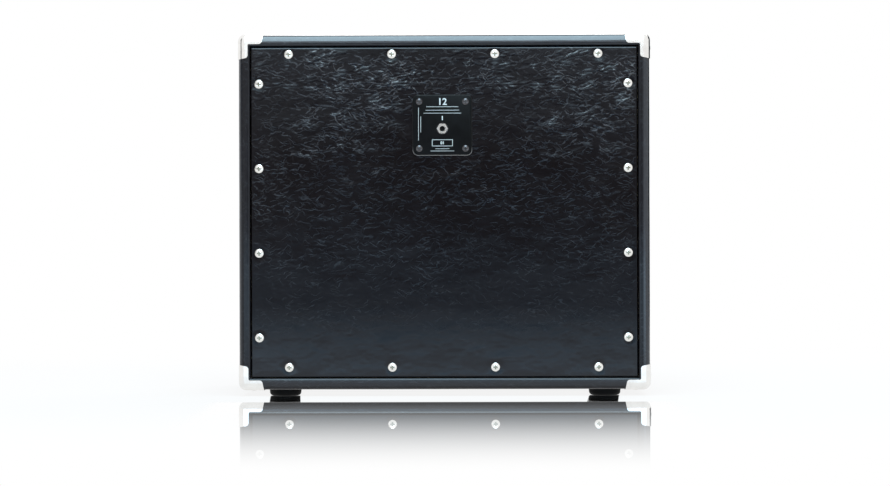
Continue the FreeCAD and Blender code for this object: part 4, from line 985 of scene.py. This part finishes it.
# %% Cut and bevel the plate
plate_corner, plate_rim = 0.007, 0.0009
plate = rear_plane("plate_sheet", plate_low.xz, plate_high.xz, plate_low.y)
open_mesh()
bpy.ops.mesh.bevel(offset=plate_corner, segments=8, affect="VERTICES")
thickness = plate_high.y - plate_low.y
bpy.ops.mesh.extrude_region_move(TRANSFORM_OT_translate={"value": (0, thickness, 0)})
bpy.ops.mesh.bevel(offset=plate_rim, segments=3, affect="EDGES")
bpy.ops.mesh.select_all(action="SELECT")
bpy.ops.mesh.normals_make_consistent(inside=False)
close_mesh(smooth_angle=35)
dress(plate, plate_paint, "black_plate", "jack_plate")
plate.data.materials.append(plate_edge.material)
steepest, flattest = 0.2, 0.95
for face in plate.data.polygons:
    face.material_index = int(steepest < face.normal.y < flattest)

# %% [markdown]
# ## The plate's print
# The plate is printed with plain rules, a boxed number, the driver's size in inches and a figure
# over the jack. Each mark is a thin raised film of white ink: a plane that is extruded by the
# film's thickness, or text that is made a mesh.

# %% White ink
ink = everyday_finish(
    "white_ink", ((0.66, 0.66, 0.66), (0.80, 0.80, 0.79)), 0.004, (0.55, 0.70),
    0.0003, 0.000004, {},
)
ink_film, ink_gap = 0.00005, 0.00004
print_depth = plate_high.y + ink_gap
print("ink on the plate at", round(print_depth, 5))


def ink_mark(name, low, high, frame_line=None):
    """A bar of ink between two corners, or the frame of a box when a line width is given."""
    mark = rear_plane(name, low, high, print_depth)
    open_mesh()
    if frame_line:
        bpy.ops.mesh.inset(thickness=frame_line)
        bpy.ops.mesh.delete(type="FACE")
        bpy.ops.mesh.select_all(action="SELECT")
    bpy.ops.mesh.extrude_region_move(TRANSFORM_OT_translate={"value": (0, ink_film, 0)})
    close_mesh()
    return mark


# %% Lay the rules and the box out
jack_x, rule_width = 0.002, 0.0005
box_half, box_low, box_high, box_line = 0.0130, 0.3146, 0.3230, 0.0006
level_rules = [
    # name, half of its length, lower edge
    ("first_rule", 0.0200, 0.3638),
    ("second_rule", 0.0210, 0.3595),
    ("third_rule", 0.0235, 0.3558),
    ("fourth_rule", 0.0088, 0.3112),
    ("fifth_rule", 0.0148, 0.3084),
]
upright_rules = [
    # name, distance from the jack, lower and upper end
    ("outer_side_rule", 0.0296, 0.3220, 0.3630),
    ("inner_side_rule", 0.0268, 0.3320, 0.3520),
]
box_corners = (jack_x - box_half, box_low), (jack_x + box_half, box_high)
marks = [ink_mark("number_box", *box_corners, box_line)]
for name, half, low in level_rules:
    marks.append(ink_mark(name, (jack_x - half, low), (jack_x + half, low + rule_width)))
for name, aside, low, high in upright_rules:
    marks.append(ink_mark(name, (jack_x + aside, low), (jack_x + aside + rule_width, high)))
print("rules and box:", len(marks))


# %% Set the figures
size_share, ink_spread, half_film = 1.4, 0.0002, 0.00003
figures = [
    # name, text, height, lower edge
    ("jack_figure", "1", 0.0050, 0.3475),
    ("box_figure", "01", 0.0034, 0.3172),
    ("plate_figure", "12", 0.0085, 0.3665),
]


def ink_figure(name, text, height, x, z):
    bpy.ops.object.select_all(action="DESELECT")
    place = (x, print_depth, z)
    bpy.ops.object.text_add(location=place, rotation=(math.pi / 2, 0, math.pi))
    figure = bpy.context.object
    figure.name = name
    figure.data.body = text
    figure.data.size = height * size_share
    figure.data.align_x = "CENTER"
    figure.data.offset = ink_spread
    figure.data.extrude = half_film
    bpy.ops.object.convert(target="MESH")
    bpy.ops.object.transform_apply(location=True, rotation=True, scale=True)
    return figure


for name, text, height, low in figures:
    marks.append(ink_figure(name, text, height, jack_x, low))
for mark in marks:
    mark.data.materials.clear()
    mark.data.materials.append(ink.material)
    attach(mark, "cabinet")
print("marks:", [mark.name for mark in marks])

# %% [markdown]
# ## The cone's suspension
# The cone hangs in two springy rings: the surround at its edge and the spider at its neck. When the
# cone moves, the ring's inner edge goes with it and the outer edge stays with the basket. A ring is
# a waved section spun round the axis.

# %% Spin a waved ring
speaker_middle = (0, 0, middle_z)
points_per_wave, spin_steps, ring_merge = 8, 96, 0.00002


def add_to_scene(piece):
    bpy.context.collection.objects.link(piece)
    bpy.ops.object.select_all(action="DESELECT")
    piece.select_set(True)
    bpy.context.view_layer.objects.active = piece


def waved_ring(name, inner, free, outer, waves, height, front, thickness):
    """Waves from the inner radius to the free one, then a flat land out to the outer radius."""
    radius = np.linspace(inner, free, waves * points_per_wave + 1)
    swing = -height * np.sin(np.pi * (radius - inner) / (free - inner) * waves)
    radius = np.append(radius, outer)
    swing = np.append(swing, 0)
    outline = [(r, front + s, middle_z) for r, s in zip(radius, swing)]
    outline += [(r, front + s + thickness, middle_z) for r, s in zip(radius[::-1], swing[::-1])]
    mesh = bpy.data.meshes.new(name)
    ring = [(i, (i + 1) % len(outline)) for i in range(len(outline))]
    mesh.from_pydata(outline, ring, [])
    piece = bpy.data.objects.new(name, mesh)
    add_to_scene(piece)
    open_mesh()
    bpy.ops.mesh.spin(steps=spin_steps, angle=2 * math.pi, center=speaker_middle, axis=(0, 1, 0))
    bpy.ops.mesh.select_all(action="SELECT")
    bpy.ops.mesh.remove_doubles(threshold=ring_merge)
    bpy.ops.mesh.normals_make_consistent(inside=False)
    close_mesh(smooth_angle=50)
    return piece


# %% Hang the rings between basket and cone
def hang_ring(piece, finish, node):
    piece.data.materials.append(finish.material)
    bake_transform(piece)
    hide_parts(node)


surround_inner, surround_free, surround_outer = 0.116, 0.133, 0.143
surround = waved_ring(
    "cone_surround", surround_inner, surround_free, surround_outer, waves=4, height=0.0011,
    front=-0.1119, thickness=0.0008,
)
hang_ring(surround, pulp, "surround")

spider_cloth = everyday_finish(
    "varnished_cloth", ((0.30, 0.15, 0.035), (0.50, 0.29, 0.09)), 0.004, (0.55, 0.75),
    0.0008, 0.00015, {"Specular IOR Level": 0.3},
)
spider_inner, spider_free, spider_outer = 0.0221, 0.0697, 0.0797
spider = waved_ring(
    "corrugated_spider", spider_inner, spider_free, spider_outer, waves=12, height=0.0009,
    front=-0.0537, thickness=0.0006,
)
hang_ring(spider, spider_cloth, "spider")

# %% [markdown]
# Two limp braids carry the current from the terminal tabs to the moving cone. They keep the shape
# of their solids, so a copy of that mesh is merged into one skin.

# %% The tinsel braids
tinsel = nodes["tinsel_leads"].copy()
tinsel.data = tinsel.data.copy()
tinsel.parent = None
tinsel.name = "tinsel_braids"
for key in [key for key in tinsel.keys() if key.startswith("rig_")]:
    del tinsel[key]
add_to_scene(tinsel)
open_mesh()
bpy.ops.mesh.remove_doubles(threshold=merge_distance)
close_mesh()
tinsel.data.materials.clear()
tinsel.data.materials.append(contact_metal.material)
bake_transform(tinsel)
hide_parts("tinsel_leads")
print(tinsel.name, "vertices:", len(tinsel.data.vertices))

# %% [markdown]
# ## The studio
# The cabinet stands on a white floor in a white room. What the camera sees of the room, and what
# metal mirrors of it, is plain white; the light that the room throws on the cabinet is set apart
# from that, so the colours stay as they are written.

# %% The white room
room_light = 0.30
world = bpy.data.worlds.new("white_room")
bpy.context.scene.world = world
world.use_nodes = True
tree = world.node_tree
lit = tree.nodes["Background"]
lit.inputs["Color"].default_value = (0.88, 0.94, 1.0, 1)
lit.inputs["Strength"].default_value = room_light
seen = tree.nodes.new("ShaderNodeBackground")
seen.inputs["Color"].default_value = (1, 1, 1, 1)
path = tree.nodes.new("ShaderNodeLightPath")
is_seen = path.outputs["Is Camera Ray"]
for kind in ("Is Glossy Ray", "Is Transmission Ray"):
    either = tree.nodes.new("ShaderNodeMath")
    either.operation = "MAXIMUM"
    tree.links.new(is_seen, either.inputs[0])
    tree.links.new(path.outputs[kind], either.inputs[1])
    is_seen = either.outputs[0]
choose = tree.nodes.new("ShaderNodeMixShader")
tree.links.new(is_seen, choose.inputs[0])
tree.links.new(lit.outputs[0], choose.inputs[1])
tree.links.new(seen.outputs[0], choose.inputs[2])
tree.links.new(choose.outputs[0], tree.nodes["World Output"].inputs["Surface"])
print("room light:", room_light)

# %% [markdown]
# Behind the cabinet the floor is polished and mirrors it at a low angle, as any gloss does; from
# higher up the mirror image is gone. It also fades over the first 0.95 m. The polished slab lies a
# little higher than the floor under the feet. All round, a soft part of the shadow stays and fades
# with the distance from the outline. A pair of lengths is the span over which one thing gives way
# to the next.

# %% Lay the floor
floor_side, slab_side, slab_rise, slab_gap = 16, 8, 0.0022, 0.002
floor = flat_plane("studio_floor", (floor_side, floor_side), (0, 0, 0))
slab_y = rim + slab_gap + slab_side / 2
slab = flat_plane("polished_slab", (slab_side, slab_side), (0, slab_y, slab_rise))
print("floor:", floor.name, "and", slab.name)

# %% Where the floor mirrors
foot_low, foot_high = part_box("foot_rear_right")
foot_middle = (foot_low + foot_high) / 2
shell_line, end_line, foot_line = (0.103, 0.117), (0.005, 0.03), (0.0182, 0.0192)
mirror_fade, mirror_strength, low_angles = (0.10, 0.95), 0.96, (0.70, 0.88)
strip_start, strip_slant = 0.01, 0.075
gloss_floor = Finish("polished_floor", {})
floor_x, floor_y, _ = gloss_floor.split(gloss_floor.place)
aside = gloss_floor.math("ABSOLUTE", floor_x)
away = floor_y - rim
past_shell = gloss_floor.clip(away, *shell_line)
behind = 1 - gloss_floor.clip(aside - half_wide, *end_line)
drawn_in = (floor_y - foot_middle.y) * strip_slant
off_foot = gloss_floor.math("ABSOLUTE", aside - foot_middle.x + drawn_in)
under_foot = 1 - gloss_floor.clip(off_foot, *foot_line)
fade = (1 - gloss_floor.clip(away, *mirror_fade)) * mirror_strength
from_foot = gloss_floor.clip(floor_y, foot_middle.y, foot_middle.y + strip_start)
facing = gloss_floor.add("ShaderNodeLayerWeight", {}, {"Blend": 0.5}, "Facing")
low_view = gloss_floor.clip(facing, *low_angles)
mirror = (fade * past_shell + under_foot * from_foot * (1 - past_shell)) * behind * low_view
print("mirror fades out", mirror_fade[1], "m behind the rim")

# %% What the floor shows
shadow_fade, shadow_share = (0.05, 0.9), 0.12
beyond_y = gloss_floor.math("ABSOLUTE", floor_y) - rim
beyond = gloss_floor.math("MAXIMUM", aside - half_wide, beyond_y)
shade = (1 - gloss_floor.clip(beyond, *shadow_fade)) * shadow_share
ray = gloss_floor.tree.nodes.new("ShaderNodeLightPath")
camera_ray = Value(gloss_floor, ray.outputs["Is Camera Ray"])
mirror_ray = Value(gloss_floor, ray.outputs["Is Glossy Ray"])
mirror_ray = mirror_ray + Value(gloss_floor, ray.outputs["Is Transmission Ray"])
white = gloss_floor.add("ShaderNodeEmission", {}, {"Color": (1, 1, 1, 1), "Strength": 1.0})
matt = gloss_floor.add("ShaderNodeBsdfDiffuse", {}, {"Color": (0.86, 0.87, 0.88, 1)})
gloss = gloss_floor.add("ShaderNodeBsdfGlossy", {}, {"Color": (1, 1, 1, 1), "Roughness": 0.0})
shown = gloss_floor.add("ShaderNodeMixShader", {}, {0: shade, 1: white, 2: matt})
shown = gloss_floor.add("ShaderNodeMixShader", {}, {0: mirror * camera_ray, 1: shown, 2: gloss})
shown = gloss_floor.add("ShaderNodeMixShader", {}, {0: camera_ray + mirror_ray, 1: matt, 2: shown})
surface = gloss_floor.tree.nodes["Material Output"].inputs["Surface"]
gloss_floor.tree.links.new(shown.socket, surface)
for ground in (floor, slab):
    ground.data.materials.append(gloss_floor.material)
print("soft shadow kept:", shadow_share)

# %% [markdown]
# Three soft lamps. The main one hangs high on the camera's side and draws the bright line on the
# top rim and on every ridge. A low strip near the floor lifts the lower part of the panel, as a
# white table does, and one on the front's side keeps the grille readable.

# %% Hang the lamps
def soft_lamp(name, place, target, size, watts, colour):
    aim = Vector(target) - Vector(place)
    turn = aim.to_track_quat("-Z", "Y").to_euler()
    bpy.ops.object.light_add(type="AREA", location=place, rotation=turn)
    lamp = bpy.context.object
    lamp.name = name
    lamp.data.shape = "RECTANGLE"
    lamp.data.size, lamp.data.size_y = size
    lamp.data.energy = watts
    lamp.data.color = colour
    lamp.visible_camera = False
    print(name, "watts:", watts)


soft_lamp("overhead_lamp", (0, 1.44, 1.80), (0, 0.54, 0.20), (1.1, 3.4), 60, (0.62, 0.87, 1.0))
soft_lamp("floor_strip", (0, 1.2, 0.05), (0, 0.15, 0.15), (2.2, 0.26), 3.0, (0.48, 0.76, 1.0))
soft_lamp("front_lamp", (-0.5, -2.0, 1.9), (0, -0.15, 0.25), (2.0, 1.2), 45, (1.0, 0.99, 0.97))

# %% [markdown]
# Bright metal against a white room would lose its edges, so photographers stand black flags
# round it, out of the picture. Three of them show only in reflections: one beyond the left end
# draws a dark edge on that rim and its caps, one at the right puts a dark ring round the screws,
# and one behind the camera keeps the middle of the panel deep black.

# %% Stand the black flags
flag_paint = everyday_finish(
    "black_flag", ((0.010, 0.010, 0.010), (0.016, 0.016, 0.016)), 0.1, (0.8, 0.9), 0.004, 0.0001, {}
)


def black_flag(name, place, turn, size):
    bpy.ops.object.select_all(action="DESELECT")
    bpy.ops.mesh.primitive_plane_add(size=1, location=place, rotation=(math.pi / 2, 0, turn))
    flag = bpy.context.object
    flag.name = name
    flag.scale = (*size, 1)
    bpy.ops.object.transform_apply(location=False, rotation=False, scale=True)
    flag.visible_camera = flag.visible_diffuse = flag.visible_shadow = False
    flag.visible_transmission = False
    flag.data.materials.append(flag_paint.material)
    print("flag:", flag.name)


black_flag("left_flag", (-1.1, -0.75, 0.65), -0.756, (1.4, 1.2))
black_flag("right_flag", (1.6, 0.75, 1.15), math.pi / 2, (0.45, 1.7))
black_flag("camera_flag", (0, 3.4, 0.27), 0, (0.95, 0.48))
